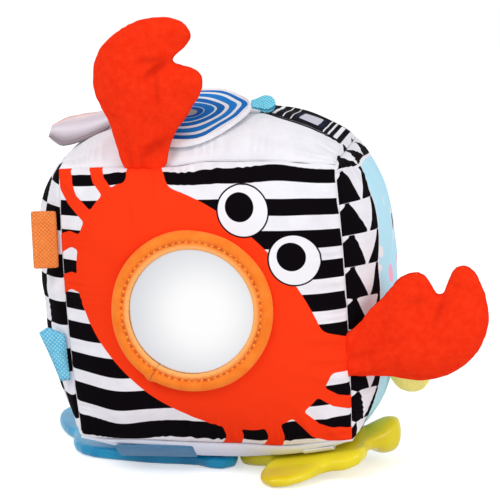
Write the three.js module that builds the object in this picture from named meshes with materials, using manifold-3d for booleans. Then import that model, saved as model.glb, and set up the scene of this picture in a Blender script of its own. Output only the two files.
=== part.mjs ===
// Soft fabric activity block: six sewn panels over a fibre filling, with a rattle inside, a mirror
// in front, two plush claws, two flaps, three ribbon tags, two teethers and a plush pod.
// Millimetres, +Z up, front towards -Y. The origin is the middle of the flat patch that the block rests on.
import * as THREE from "three";
import { mergeVertices } from "three/addons/utils/BufferGeometryUtils.js";
import Module from "manifold-3d";

const wasm = await Module();
wasm.setup();

// Clearances shared by all pieces
const CLEARANCE = 0.3; // between two pieces that touch
const OVERRUN = 30; // how far a cutting body runs past what it cuts

// Block body
const HALF_EDGE = 68; // half of a seam, from corner to corner
const CROWN = 21; // how far the middle of a face stands out from the corners
const SEAM_BOW = 2; // how far the middle of a seam bows out
const LEAN_SHARE = 0.055; // sideways lean of the soft body, for each unit of height
const CROWN_EXPONENT = 4; // how square the crown is
const REST_DEPTH = 0.5; // depth of the flat patch under the block
const SKIN = 1.2; // printed cloth with its lining
const SEAM_GAP = 0.1; // half of the gap between two panels at a seam
const FACE_CELLS = 12; // cells of a face's grid, each way
const EDGE_CROWDING_SHARE = 0.5; // how much the grid crowds towards the seams
const BODY_HEIGHT = HALF_EDGE + CROWN - REST_DEPTH; // the block's middle above its rest

// Filling and rattle
const WAD_SPLIT = 0; // height of the joint between the two wads, from the block's middle
const RATTLE_RADIUS = 17;
const RATTLE_WALL = 1.5;
const POCKET_ROOM = 0.5; // room round the rattle in the filling
const RATTLE_FLANGE = 2.4; // width of the welded rim
const RATTLE_FLANGE_DEPTH = 1.2; // thickness of each half's rim
const BEAD_RADIUS = 4;
const BEADS = 3;
const RATTLE_SEGMENTS = 16;
const RATTLE_STEPS = 5;
const BEAD_SEGMENTS = 10;

// Mirror
const MIRROR_X = -3.5; // middle of the mirror on the front, from the block's middle
const MIRROR_Z = -1;
const MIRROR_RADIUS = 32.6;
const MIRROR_THICK = 0.8;
const MIRROR_PAD_THICK = 1;
const RING_OUTER = 39.3; // outer radius of the padded cloth ring
const RING_SIGHT = 30; // radius of the mirror that shows
const RING_STITCH = 33.8; // radius of the stitched groove
const RING_HEIGHT = 4.3;
const RING_SEGMENTS = 32;
const DISC_RINGS = 3; // rings of a disc's surface, from its middle to its edge

// Claws
const CLAW_LENGTH = 69.5;
const CLAW_HALF_THICK = 9;
const CLAW_COVER = 1.2; // plush with its backing
const CLAW_NECK = 6; // the filling starts this far above the seam
const CLAW_TOP_X = -23.5; // middle of the top claw's seam, along the top seam
const CLAW_SIDE_Z = -25; // middle of the side claw's seam, along the right seam
const CLAW_SIDE_TURN = 20; // degrees that the side claw is turned up from its seam's normal
const SEAM_STAND = 1.5; // a claw's cut base stands this far out of its seam
const PILLOW_POINTS = 26;

// Flaps on the top
const FLAP_CLOTH = 1; // cloth layer of a flap
const FLAP_FILM = 0.4; // crinkle film between the layers
const FLAP_PLAY = 0.5; // air between the layers, which lie on a curve
const RING_FLAP_RADIUS = 32;
const RING_FLAP_X = -10.5; // middle of the ring flap's front edge
const RING_FLAP_BACK = 2.5; // distance of its stitched edge from the front seam
const RING_FLAP_TILT = 12; // degrees, where it stands off the top
const RING_FLAP_LEAVE = 43; // it leaves the top's surface this far in front of the middle
const RING_FLAP_SEGMENTS = 24;
const FLAP_HEM = 2.5; // the crinkle film ends this far inside the edge
const SATIN_FLAP_LENGTH = 33;
const SATIN_FLAP_WIDTH = 28;
const SATIN_FLAP_ROOT_X = -50;
const SATIN_FLAP_Y = -33; // middle of its root
const SATIN_FLAP_DROP = 7; // how far its tip hangs below its root
const SATIN_ROOT_SLOPE_SHARE = 0.08; // slope of the flap down to the front at its root
const SATIN_TIP_SLOPE_SHARE = 0.6; // and at its tip
const SATIN_TIP_SHARE = 0.85; // how much narrower its tip is
const SATIN_CELLS = 6;

// Ribbon tags
const TAG_STAND = 1.1; // a tag in the left seam stands this far out of it
const RIBBON = 0.6; // thickness of a ribbon
const ORANGE_TAG_WIDTH = 28; // along the seam
const ORANGE_TAG_REACH = 12.5; // out of the seam
const ORANGE_TAG_Z = 30.5; // middle, from the block's middle
const ORANGE_TAG_BULGE = 2.2; // half of the loop's thickness at its round end
const BLUE_TAG_WIDTH = 25;
const BLUE_TAG_REACH = 13;
const BLUE_TAG_END = 5; // its reach at the lower end
const BLUE_TAG_Z = -27.5;
const PULL_TAG_WIDTH = 10;
const PULL_TAG_REACH = 11;
const PULL_TAG_BULGE = 3.2;
const PULL_TAG_ANGLE = 14; // degrees round the flap's edge, from the right
const LOOP_SEGMENTS = 5;

// Teethers
const TEETHER_THICK = 6.5; // blue teether
const TEETHER_BEVEL = 2.2;
const TEETHER_SPAN = 112; // from the tip of the left lobe to the tip of the right one
const TEETHER_POINTS = 44;
const BEVEL_STEPS = 2;
const STAR_THICK = 7.5;
const STAR_BEVEL = 2.6;
const STAR_RADIUS = 43;
const STAR_WAIST = 25; // radius between two arms
const STAR_ARMS = 5;
const STAR_POINTS = 50;
const STAR_ARM_SHARPNESS = 1.4; // exponent of the arm's rounded form
const STAR_X = 54;
const STAR_Y = -46;
const STAR_TURN = -117; // degrees, direction of the arm that points forward
const STAR_TILT = 9.6; // degrees, rising to the right
const STAR_TILT_TURN = 25.6; // degrees, direction in which it rises
const STRAP = 1; // thickness of a teether's strap
const BLUE_STRAP_X = -31;
const BLUE_STRAP_WIDTH = 40;
const STAR_STRAP_X = 50;
const STAR_STRAP_WIDTH = 16;
const STRAP_START_SHARE = 0.975; // where the straps start, from the underside's middle to its front seam
const BLUE_STRAP_END_SHARE = 0.58;
const STAR_STRAP_END_SHARE = 0.66;
const STRAP_PLAY = 0.4; // between a strap and the block's underside
const STRAP_CELLS = 4;
const LIFT_MARGIN = 7; // the block's underside clears a teether this far past its outline
const LIFT_FADE = 12; // and comes down again over this width

// Pod
const POD_REACH = 18; // how far it reaches out of the right face
const POD_TAB = 1.5; // length of the tab that holds it
const POD_TAB_WIDTH = 12;
const POD_SEGMENTS = 12;
const POD_HALF_HEIGHT = 17;
const POD_HALF_THICK = 7.5;
const POD_Y = -27;
const POD_Z = -36;
const POD_COVER = 1.2;

// Materials
function cloth(colour, roughness = 0.9) {
  return new THREE.MeshStandardMaterial({ color: colour, roughness, metalness: 0 });
}
const printCloth = cloth(0xf2f0f4, 0.7);
const plushRed = cloth(0xee2a12, 1);
const ringOrange = cloth(0xfb8a30, 0.85);
const fibre = cloth(0xf7f6f2, 1);
const flapBlue = cloth(0x2d76cc, 0.75);
const satin = cloth(0xe6d8df, 0.35);
const film = new THREE.MeshStandardMaterial({ color: 0xdfe4e8, roughness: 0.25, metalness: 0 });
const ribbonOrange = cloth(0xe9762e, 0.6);
const ribbonBlue = cloth(0x2b9bd0, 0.6);
const ribbonCyan = cloth(0x4fbfe0, 0.5);
const teetherBlue = new THREE.MeshStandardMaterial({ color: 0x1e96cc, roughness: 0.3, metalness: 0 });
const starYellow = new THREE.MeshStandardMaterial({ color: 0xe2ce28, roughness: 0.45, metalness: 0 });
const velourLime = cloth(0xd6d25a, 1);
const mirrorFilm = new THREE.MeshStandardMaterial({ color: 0xdedfe3, roughness: 0.05, metalness: 1 });
const foam = cloth(0xe8e6e0, 0.95);
const shellPlastic = new THREE.MeshStandardMaterial({ color: 0xe8edf2, roughness: 0.4, metalness: 0 });
const beadPlastic = new THREE.MeshStandardMaterial({ color: 0xc23a2e, roughness: 0.4, metalness: 0 });

const block = new THREE.Group();

function addMesh(name, geometry, material, parent = block) {
  const mesh = new THREE.Mesh(geometry, material);
  mesh.name = name;
  parent.add(mesh);
  return mesh;
}

// Closed geometry to solid, and back
function toSolid(geometry) {
  const plain = geometry.clone();
  plain.deleteAttribute("normal");
  plain.deleteAttribute("uv");
  const merged = mergeVertices(plain);
  return new wasm.Manifold(
    new wasm.Mesh({
      numProp: 3,
      vertProperties: merged.attributes.position.array,
      triVerts: new Uint32Array(merged.index.array),
    }),
  );
}

function toGeometry(solid) {
  const mesh = solid.getMesh();
  const geometry = new THREE.BufferGeometry();
  geometry.setAttribute("position", new THREE.BufferAttribute(mesh.vertProperties, 3));
  geometry.setIndex(new THREE.BufferAttribute(mesh.triVerts, 1));
  geometry.computeVertexNormals();
  return geometry;
}

function fromArrays(points, triangles) {
  const geometry = new THREE.BufferGeometry();
  const numbers = points.flatMap((p) => [p.x, p.y, p.z]);
  geometry.setAttribute("position", new THREE.Float32BufferAttribute(numbers, 3));
  geometry.setIndex(triangles);
  geometry.computeVertexNormals();
  return geometry;
}

// A box from one corner to the other, for cutting
function cutBox(low, high) {
  const size = high.clone().sub(low);
  const box = new THREE.BoxGeometry(size.x, size.y, size.z);
  box.translate((low.x + high.x) / 2, (low.y + high.y) / 2, (low.z + high.z) / 2);
  return toSolid(box);
}

// Blue teether: its outline on the floor, in shares of its span, from the left lobe's tip round
const TEETHER_OUTLINE_SHARES = [
  [-0.875, 0.47], [-0.885, 0.33], [-0.85, 0.19], [-0.79, 0.06], [-0.725, -0.04], [-0.71, -0.16],
  [-0.66, -0.27], [-0.58, -0.335], [-0.45, -0.375], [-0.3, -0.415], [-0.16, -0.425], [-0.07, -0.44],
  [-0.01, -0.485], [0.05, -0.49], [0.1, -0.44], [0.095, -0.35], [0.02, -0.29], [-0.12, -0.27],
  [-0.3, -0.265], [-0.44, -0.21], [-0.53, -0.1], [-0.57, 0.06], [-0.6, 0.25], [-0.66, 0.42],
  [-0.76, 0.53],
];
// Its middle line, for the hollow that it presses into the block's underside
const TEETHER_LINE_SHARES = [
  [-0.79, 0.42], [-0.74, 0.2], [-0.63, -0.02], [-0.57, -0.22], [-0.42, -0.32], [-0.2, -0.345],
  [0.03, -0.4],
];
const TEETHER_HALF_BAND_SHARE = 0.1; // half of the band's width round that line

function scaled(shares, size) {
  return shares.map(([x, y]) => new THREE.Vector2(x * size, y * size));
}

const teetherLine = scaled(TEETHER_LINE_SHARES, TEETHER_SPAN);

function distanceToSegment(point, from, to) {
  const along = to.clone().sub(from);
  const share = point.clone().sub(from).dot(along) / along.lengthSq();
  return point.distanceTo(from.clone().addScaledVector(along, THREE.MathUtils.clamp(share, 0, 1)));
}

function fadeOut(distance) {
  return 1 - THREE.MathUtils.smoothstep(distance, LIFT_MARGIN, LIFT_MARGIN + LIFT_FADE);
}

// The star's tilted plane: its underside touches the floor along the line under its front and left arms
const starTilt = THREE.MathUtils.degToRad(STAR_TILT);
const starRiseAngle = THREE.MathUtils.degToRad(STAR_TILT_TURN);
const starRise = new THREE.Vector2(Math.cos(starRiseAngle), Math.sin(starRiseAngle));
const starCentre = new THREE.Vector2(STAR_X, STAR_Y);

function armTip(index) {
  const angle = THREE.MathUtils.degToRad(STAR_TURN) + (2 * Math.PI * index) / STAR_ARMS;
  return new THREE.Vector2(Math.cos(angle), Math.sin(angle)).multiplyScalar(STAR_RADIUS).add(starCentre);
}

const tipRises = [...Array(STAR_ARMS).keys()].map((i) => armTip(i).sub(starCentre).dot(starRise));
const starPivot = -Math.min(...tipRises);

function starTop(point) {
  const along = point.clone().sub(starCentre).dot(starRise) + starPivot;
  return along * Math.tan(starTilt) + STAR_THICK;
}

// Height above the floor that the block's underside has to clear at a place
function clearHeight(x, y) {
  const point = new THREE.Vector2(x, y);
  const strapRoom = STRAP + STRAP_PLAY + CLEARANCE;
  let height = 0;
  for (let i = 1; i < teetherLine.length; i += 1) {
    const distance = distanceToSegment(point, teetherLine[i - 1], teetherLine[i]);
    const share = fadeOut(distance - TEETHER_HALF_BAND_SHARE * TEETHER_SPAN);
    height = Math.max(height, share * (TEETHER_THICK + strapRoom));
  }
  for (let i = 0; i < STAR_ARMS; i += 1) {
    const distance = distanceToSegment(point, starCentre, armTip(i));
    const share = fadeOut(distance - (STAR_RADIUS - STAR_WAIST) / 2);
    height = Math.max(height, share * (starTop(point) + strapRoom));
  }
  return height;
}

// Body surface: a point of the unit cube's surface, puffed out, leaning, flat and dented underneath
function puffed(cube) {
  const unit = [cube.x, cube.y, cube.z];
  const out = unit.map((c, k) => {
    const [a, b] = unit.filter((_, i) => i !== k).map(Math.abs);
    const bow = SEAM_BOW * (1 - a * a * b * b);
    const crown = (CROWN - SEAM_BOW) * (1 - a ** CROWN_EXPONENT) * (1 - b ** CROWN_EXPONENT);
    const onFace = Math.abs(c) === 1 ? Math.sign(c) : 0;
    return HALF_EDGE * c + c * bow + onFace * crown;
  });
  const point = new THREE.Vector3(...out);
  point.x -= LEAN_SHARE * point.z;
  if (cube.z === -1) {
    const dent = Math.min(clearHeight(point.x, point.y) - BODY_HEIGHT, -HALF_EDGE - SEAM_BOW - CLEARANCE);
    point.z = Math.max(point.z, dent);
  }
  return point;
}

// Share of the body's size at a depth under its surface
function layerShare(depth) {
  return 1 - depth / (HALF_EDGE + CROWN);
}

function gridLine(index) {
  const even = (2 * index) / FACE_CELLS - 1;
  const crowded = Math.sin((even * Math.PI) / 2);
  return even * (1 - EDGE_CROWDING_SHARE) + crowded * EDGE_CROWDING_SHARE;
}

// Six faces of the unit cube: outward direction and the two directions along the face
const FACES = {
  front: { out: [0, -1, 0], u: [1, 0, 0], v: [0, 0, 1] },
  back: { out: [0, 1, 0], u: [-1, 0, 0], v: [0, 0, 1] },
  right: { out: [1, 0, 0], u: [0, 1, 0], v: [0, 0, 1] },
  left: { out: [-1, 0, 0], u: [0, -1, 0], v: [0, 0, 1] },
  top: { out: [0, 0, 1], u: [1, 0, 0], v: [0, 1, 0] },
  bottom: { out: [0, 0, -1], u: [1, 0, 0], v: [0, -1, 0] },
};

function onCube(face, u, v) {
  const cube = new THREE.Vector3(...face.out);
  cube.addScaledVector(new THREE.Vector3(...face.u), u);
  return cube.addScaledVector(new THREE.Vector3(...face.v), v);
}

// Solid between two grids of points, high and low: place(i, j, isHigh) gives each point
function slabGeometry(cellsU, cellsV, place) {
  const points = [];
  for (const isHigh of [true, false])
    for (let j = 0; j <= cellsV; j += 1)
      for (let i = 0; i <= cellsU; i += 1) points.push(place(i, j, isHigh));
  const layer = (cellsU + 1) * (cellsV + 1);
  const row = cellsU + 1;
  const triangles = gridTriangles(0, cellsU, cellsV, false);
  triangles.push(...gridTriangles(layer, cellsU, cellsV, true));
  const edge = [];
  for (let i = 0; i < cellsU; i += 1) edge.push(i);
  for (let j = 0; j < cellsV; j += 1) edge.push(j * row + cellsU);
  for (let i = cellsU; i > 0; i -= 1) edge.push(cellsV * row + i);
  for (let j = cellsV; j > 0; j -= 1) edge.push(j * row);
  edge.forEach((a, k) => {
    const b = edge[(k + 1) % edge.length];
    triangles.push(b, a, a + layer, b, a + layer, b + layer);
  });
  return fromArrays(points, triangles);
}

function gridTriangles(offset, cellsU, cellsV, flipped) {
  const row = cellsU + 1;
  const triangles = [];
  for (let j = 0; j < cellsV; j += 1)
    for (let i = 0; i < cellsU; i += 1) {
      const a = offset + j * row + i;
      const quad = flipped ? [a, a + row, a + row + 1, a + 1] : [a, a + 1, a + row + 1, a + row];
      triangles.push(quad[0], quad[1], quad[2], quad[0], quad[2], quad[3]);
    }
  return triangles;
}

// A point of the body's surface, or of a layer at a depth under it, in the part's frame
function bodyPoint(face, u, v, depth) {
  const point = puffed(onCube(face, u, v)).multiplyScalar(layerShare(depth));
  return point.add(new THREE.Vector3(0, 0, BODY_HEIGHT));
}

// A panel: outer and inner layer of a face, joined round the edge
function panelGeometry(face) {
  const reachShare = 1 - SEAM_GAP / HALF_EDGE;
  return slabGeometry(FACE_CELLS, FACE_CELLS, (i, j, isOuter) =>
    bodyPoint(face, gridLine(i) * reachShare, gridLine(j) * reachShare, isOuter ? 0 : SKIN),
  );
}

for (const [name, face] of Object.entries(FACES))
  addMesh(`${name}_panel`, panelGeometry(face), printCloth);

// Closed form of the whole body at a depth under its surface
function bodySolid(depth) {
  const points = [];
  const triangles = [];
  for (const face of Object.values(FACES)) {
    triangles.push(...gridTriangles(points.length, FACE_CELLS, FACE_CELLS, false));
    for (let j = 0; j <= FACE_CELLS; j += 1)
      for (let i = 0; i <= FACE_CELLS; i += 1)
        points.push(bodyPoint(face, gridLine(i), gridLine(j), depth));
  }
  return toSolid(fromArrays(points, triangles));
}

// Filling: the body's inner form in two wads, round the rattle
function rattlePocket() {
  const pocket = new THREE.SphereGeometry(RATTLE_RADIUS + POCKET_ROOM, RATTLE_SEGMENTS, RATTLE_SEGMENTS);
  const rimRadius = RATTLE_RADIUS + RATTLE_FLANGE + CLEARANCE;
  const rimDepth = 2 * (RATTLE_FLANGE_DEPTH + CLEARANCE);
  const rim = new THREE.CylinderGeometry(rimRadius, rimRadius, rimDepth, RATTLE_SEGMENTS);
  rim.rotateX(Math.PI / 2);
  pocket.rotateX(Math.PI / 2);
  return toSolid(pocket).add(toSolid(rim)).translate([0, 0, BODY_HEIGHT]);
}

const reach = HALF_EDGE + CROWN + OVERRUN;
const hollowFilling = bodySolid(SKIN + CLEARANCE).subtract(rattlePocket());
const splitHeight = BODY_HEIGHT + WAD_SPLIT;
const lowerHalf = cutBox(
  new THREE.Vector3(-reach, -reach, -OVERRUN),
  new THREE.Vector3(reach, reach, splitHeight - CLEARANCE / 2),
);
const upperHalf = cutBox(
  new THREE.Vector3(-reach, -reach, splitHeight + CLEARANCE / 2),
  new THREE.Vector3(reach, reach, splitHeight + reach),
);
addMesh("filling_lower", toGeometry(hollowFilling.intersect(lowerHalf)), fibre);
addMesh("filling_upper", toGeometry(hollowFilling.intersect(upperHalf)), fibre);

// Rattle: two halves with a welded rim, and beads that lie in the lower one
function rattleHalf() {
  const inner = RATTLE_RADIUS - RATTLE_WALL;
  const steps = RATTLE_STEPS;
  const profile = [];
  for (let i = 0; i <= steps; i += 1) {
    const angle = (Math.PI / 2) * (1 - i / steps);
    profile.push(new THREE.Vector2(Math.cos(angle) * RATTLE_RADIUS, Math.sin(angle) * RATTLE_RADIUS));
  }
  profile[0].x = 0;
  profile[steps].y = RATTLE_FLANGE_DEPTH;
  profile.push(new THREE.Vector2(RATTLE_RADIUS + RATTLE_FLANGE, RATTLE_FLANGE_DEPTH));
  profile.push(new THREE.Vector2(RATTLE_RADIUS + RATTLE_FLANGE, CLEARANCE / 2));
  for (let i = steps; i >= 0; i -= 1) {
    const angle = (Math.PI / 2) * (1 - i / steps);
    const high = Math.max(Math.sin(angle) * inner, CLEARANCE / 2);
    profile.push(new THREE.Vector2(Math.cos(angle) * inner, high));
  }
  profile[profile.length - 1].x = 0;
  return new THREE.LatheGeometry(profile.reverse(), RATTLE_SEGMENTS);
}

const rattle = new THREE.Group();
rattle.position.z = BODY_HEIGHT;
block.add(rattle);
const upperShell = addMesh("rattle_shell_upper", rattleHalf(), shellPlastic, rattle);
upperShell.rotation.x = Math.PI / 2;
const lowerShell = addMesh("rattle_shell_lower", rattleHalf(), shellPlastic, rattle);
lowerShell.rotation.x = -Math.PI / 2;

const beadTrack = RATTLE_RADIUS - RATTLE_WALL - BEAD_RADIUS - CLEARANCE;
const beadCircle = (2 * BEAD_RADIUS + CLEARANCE) / (2 * Math.sin(Math.PI / BEADS));
for (let i = 0; i < BEADS; i += 1) {
  const angle = (2 * Math.PI * i) / BEADS;
  const ball = new THREE.SphereGeometry(BEAD_RADIUS, BEAD_SEGMENTS, BEAD_SEGMENTS / 2);
  const bead = addMesh(`rattle_bead_${i + 1}`, ball, beadPlastic, rattle);
  bead.position.set(
    beadCircle * Math.cos(angle),
    beadCircle * Math.sin(angle),
    -Math.sqrt(beadTrack ** 2 - beadCircle ** 2),
  );
}

// Place on a face, from lengths along it measured from the block's middle
const PLACE_STEPS = 6;

function placeOnFace(face, along, across, lift) {
  const uAxis = new THREE.Vector3(...face.u);
  const vAxis = new THREE.Vector3(...face.v);
  let u = along / HALF_EDGE;
  let v = across / HALF_EDGE;
  let point = puffed(onCube(face, u, v));
  for (let i = 0; i < PLACE_STEPS; i += 1) {
    u += (along - point.dot(uAxis)) / HALF_EDGE;
    v += (across - point.dot(vAxis)) / HALF_EDGE;
    point = puffed(onCube(face, u, v));
  }
  point.addScaledVector(new THREE.Vector3(...face.out), lift);
  return point.add(new THREE.Vector3(0, 0, BODY_HEIGHT));
}

// Lays a turned geometry, whose axis is Y, on a face with its axis outwards
function layOnFace(geometry, face, along, across) {
  const positions = geometry.attributes.position;
  for (let i = 0; i < positions.count; i += 1) {
    const point = placeOnFace(
      face,
      along + positions.getX(i),
      across - positions.getZ(i),
      positions.getY(i),
    );
    positions.setXYZ(i, point.x, point.y, point.z);
  }
  return geometry;
}

// Disc profile with rings between its axis and its edge, and a wider edge where there is one
function discProfile(radius, low, high, hem = 0) {
  const radii = [];
  for (let i = 0; i <= DISC_RINGS; i += 1) radii.push((radius * i) / DISC_RINGS);
  if (hem) radii.push(radius + hem);
  const below = radii.map((r) => new THREE.Vector2(r, low));
  const above = radii.map((r) => new THREE.Vector2(r, high));
  return [...below, ...above.reverse()];
}

const padLow = CLEARANCE;
const padHigh = padLow + MIRROR_PAD_THICK;
const mirrorLow = padHigh + CLEARANCE;
const mirrorHigh = mirrorLow + MIRROR_THICK;
const lipLow = mirrorHigh + CLEARANCE;

function layMirrorPiece(profile) {
  return layOnFace(new THREE.LatheGeometry(profile, RING_SEGMENTS), FACES.front, MIRROR_X, MIRROR_Z);
}

addMesh("mirror_pad", layMirrorPiece(discProfile(MIRROR_RADIUS, padLow, padHigh)), foam);
addMesh("mirror_disc", layMirrorPiece(discProfile(MIRROR_RADIUS, mirrorLow, mirrorHigh)), mirrorFilm);

// Padded ring: a puffed outer roll, the stitched groove and a lip over the mirror's edge
const RING_GROOVE_SHARE = 0.8; // height of the groove as a share of the ring's
const LIP_SHARE = 0.97; // height of the lip
const ringPocket = MIRROR_RADIUS + CLEARANCE;
const rollWidth = RING_OUTER - RING_STITCH;
const lipWidth = RING_STITCH - RING_SIGHT;
const ringProfile = [
  [ringPocket, CLEARANCE],
  [RING_OUTER - rollWidth / 8, CLEARANCE],
  [RING_OUTER, RING_HEIGHT / 3],
  [RING_OUTER - rollWidth / 6, (RING_HEIGHT * 3) / 4],
  [RING_OUTER - rollWidth / 2, RING_HEIGHT],
  [RING_STITCH + rollWidth / 5, RING_HEIGHT * LIP_SHARE],
  [RING_STITCH, RING_HEIGHT * RING_GROOVE_SHARE],
  [RING_STITCH - lipWidth / 3, RING_HEIGHT * LIP_SHARE],
  [RING_SIGHT + lipWidth / 4, RING_HEIGHT * LIP_SHARE],
  [RING_SIGHT, (RING_HEIGHT + lipLow) / 2],
  [RING_SIGHT + lipWidth / 8, lipLow],
  [ringPocket, lipLow],
  [ringPocket, CLEARANCE],
].map(([x, y]) => new THREE.Vector2(x, y));
addMesh("mirror_ring", layMirrorPiece(ringProfile), ringOrange);

// Stuffed form between a closed outline and a line inside it, swelling from the outline to that line
const SWELL_SHARES = [0.08, 0.3, 0.65]; // places of the rings between the outline and the line
function pillowSolid(outline, line, inset) {
  const lastShare = SWELL_SHARES.at(-1);
  const rim = closedCurve(outline, PILLOW_POINTS);
  const targets = rim.map((p) => nearestOnLine(p, line));
  const rings = [0, ...SWELL_SHARES].map((share) =>
    rim.map((p, i) => {
      const target = targets[i];
      const insetShare = Math.min(inset / p.distanceTo(target.point), 1);
      const shift = insetShare * (1 - share / lastShare);
      const place = p.clone().lerp(target.point, shift).lerp(target.point, share);
      place.z = Math.max(target.half - inset, CLEARANCE) * Math.sqrt(1 - (1 - share) ** 2);
      return place;
    }),
  );
  const mirrored = rings.slice(1).map((ring) => ring.map((p) => new THREE.Vector3(p.x, p.y, -p.z)));
  const count = rim.length;
  const points = [...rings, ...mirrored].flat();
  const triangles = [];
  const stitch = (from, to, flipped) => {
    for (let i = 0; i < count; i += 1) {
      const k = (i + 1) % count;
      const [a, b, c, d] = [from * count + i, from * count + k, to * count + k, to * count + i];
      if (flipped) triangles.push(a, c, b, a, d, c);
      else triangles.push(a, b, c, a, c, d);
    }
  };
  const last = rings.length - 1;
  for (let ring = 0; ring < last; ring += 1) {
    stitch(ring, ring + 1, false);
    stitch(ring ? last + ring : 0, last + ring + 1, true);
  }
  const middle = rim.map((p, i) => {
    const place = p.clone().lerp(targets[i].point, lastShare);
    return new THREE.Vector2(place.x, place.y);
  });
  for (const face of THREE.ShapeUtils.triangulateShape(middle, [])) {
    const [a, b, c] = THREE.ShapeUtils.isClockWise(face.map((i) => middle[i])) ? face.toReversed() : face;
    triangles.push(last * count + a, last * count + b, last * count + c);
    triangles.push(2 * last * count + a, 2 * last * count + c, 2 * last * count + b);
  }
  return toSolid(fromArrays(points, triangles));
}

// Evenly spaced points of a smooth closed outline, anticlockwise
function closedCurve(outline, count) {
  const ordered = THREE.ShapeUtils.isClockWise(outline) ? outline.toReversed() : outline;
  const flat = ordered.map((p) => new THREE.Vector3(p.x, p.y, 0));
  const curve = new THREE.CatmullRomCurve3(flat, true, "centripetal");
  return curve.getSpacedPoints(count).slice(0, -1);
}

// Nearest point of a line whose points carry the half thickness there
function nearestOnLine(point, line) {
  let best = null;
  for (let i = 1; i < line.length; i += 1) {
    const from = new THREE.Vector3(line[i - 1].x, line[i - 1].y, 0);
    const to = new THREE.Vector3(line[i].x, line[i].y, 0);
    const along = to.clone().sub(from);
    const share = THREE.MathUtils.clamp(point.clone().sub(from).dot(along) / along.lengthSq(), 0, 1);
    const place = from.addScaledVector(along, share);
    const distance = place.distanceTo(point);
    if (!best || distance < best.distance)
      best = { point: place, distance, half: THREE.MathUtils.lerp(line[i - 1].half, line[i].half, share) };
  }
  return best;
}

// Claw, drawn upright with its seam at zero, in shares of its length: palm with the long finger, and thumb
const PALM_SHARES = [
  [-0.12, -0.1], [-0.145, 0], [-0.185, 0.1], [-0.245, 0.22], [-0.315, 0.36], [-0.355, 0.5], [-0.358, 0.64],
  [-0.315, 0.76], [-0.245, 0.845], [-0.155, 0.915], [-0.04, 0.965], [0.1, 0.99], [0.225, 0.975],
  [0.32, 0.935], [0.355, 0.87], [0.325, 0.81], [0.255, 0.758], [0.195, 0.705], [0.17, 0.62], [0.2, 0.48],
  [0.21, 0.34], [0.19, 0.2], [0.165, 0.08], [0.145, 0], [0.13, -0.1],
];
const PALM_LINE_SHARES = [
  [0, -0.06], [0, 0.01], [0, 0.035], [-0.005, 0.1], [-0.02, 0.2], [-0.06, 0.38], [-0.095, 0.56],
  [-0.07, 0.71], [0.03, 0.82], [0.19, 0.87],
];
const PALM_THICK_SHARES = [0.07, 0.07, 0.15, 0.38, 0.66, 0.95, 1, 0.92, 0.8, 0.66];
const THUMB_SHARES = [
  [-0.02, 0.3], [0.03, 0.48], [0.12, 0.6], [0.2, 0.655], [0.285, 0.63], [0.365, 0.595], [0.412, 0.545],
  [0.418, 0.495], [0.385, 0.43], [0.325, 0.35], [0.26, 0.26], [0.19, 0.19], [0.08, 0.19],
];
const THUMB_LINE_SHARES = [[0.08, 0.33], [0.18, 0.43], [0.3, 0.51]];
const THUMB_THICK_SHARES = [0.78, 0.8, 0.66];

function thickLine(lineShares, thickShares) {
  return lineShares.map(([x, y], i) => ({
    x: x * CLAW_LENGTH,
    y: y * CLAW_LENGTH,
    half: thickShares[i] * CLAW_HALF_THICK,
  }));
}

function clawSolid(inset) {
  const palmLine = thickLine(PALM_LINE_SHARES, PALM_THICK_SHARES);
  const thumbLine = thickLine(THUMB_LINE_SHARES, THUMB_THICK_SHARES);
  const palm = pillowSolid(scaled(PALM_SHARES, CLAW_LENGTH), palmLine, inset);
  return palm.add(pillowSolid(scaled(THUMB_SHARES, CLAW_LENGTH), thumbLine, inset));
}

// Half space that keeps one side of the flat seam, or what stands out of the block's seam
function keepSide(axis, from) {
  const low = new THREE.Vector3(-reach, -reach, -reach);
  low.setComponent(axis, from);
  return cutBox(low, new THREE.Vector3(reach, reach, reach));
}

function addClaw(name, group, turn, facesFront) {
  const base = keepSide(1, CLEARANCE);
  const turned = (inset) => clawSolid(inset).rotate([0, 0, turn]).intersect(base);
  const outer = turned(0);
  const shell = outer.subtract(turned(CLAW_COVER));
  const near = keepSide(2, CLEARANCE / 2);
  const far = near.rotate([0, 180, 0]);
  const [front, back] = facesFront ? [near, far] : [far, near];
  const deepBase = keepSide(1, CLAW_NECK);
  addMesh(`${name}_front_cover`, toGeometry(shell.intersect(front)), plushRed, group);
  addMesh(`${name}_back_cover`, toGeometry(shell.intersect(back)), plushRed, group);
  const filling = turned(CLAW_COVER + 2 * CLEARANCE).intersect(deepBase);
  addMesh(`${name}_filling`, toGeometry(filling), fibre, group);
}

// A point of a seam between two faces, in the part's frame
function seamPoint(cube) {
  return puffed(cube).add(new THREE.Vector3(0, 0, BODY_HEIGHT));
}

const clawTop = new THREE.Group();
clawTop.position.copy(seamPoint(new THREE.Vector3(CLAW_TOP_X / HALF_EDGE, -1, 1)));
clawTop.position.z += SEAM_STAND;
clawTop.rotation.x = Math.PI / 2;
block.add(clawTop);
addClaw("claw_top", clawTop, 0, true);

const clawSide = new THREE.Group();
clawSide.position.copy(seamPoint(new THREE.Vector3(1, -1, CLAW_SIDE_Z / HALF_EDGE)));
clawSide.position.x += SEAM_STAND;
const upwards = new THREE.Vector3(0, 0, 1);
const sideways = new THREE.Vector3(1, 0, 0);
const backwards = new THREE.Vector3(0, 1, 0);
clawSide.quaternion.setFromRotationMatrix(new THREE.Matrix4().makeBasis(upwards, sideways, backwards));
block.add(clawSide);
addClaw("claw_side", clawSide, -CLAW_SIDE_TURN, false);

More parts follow.
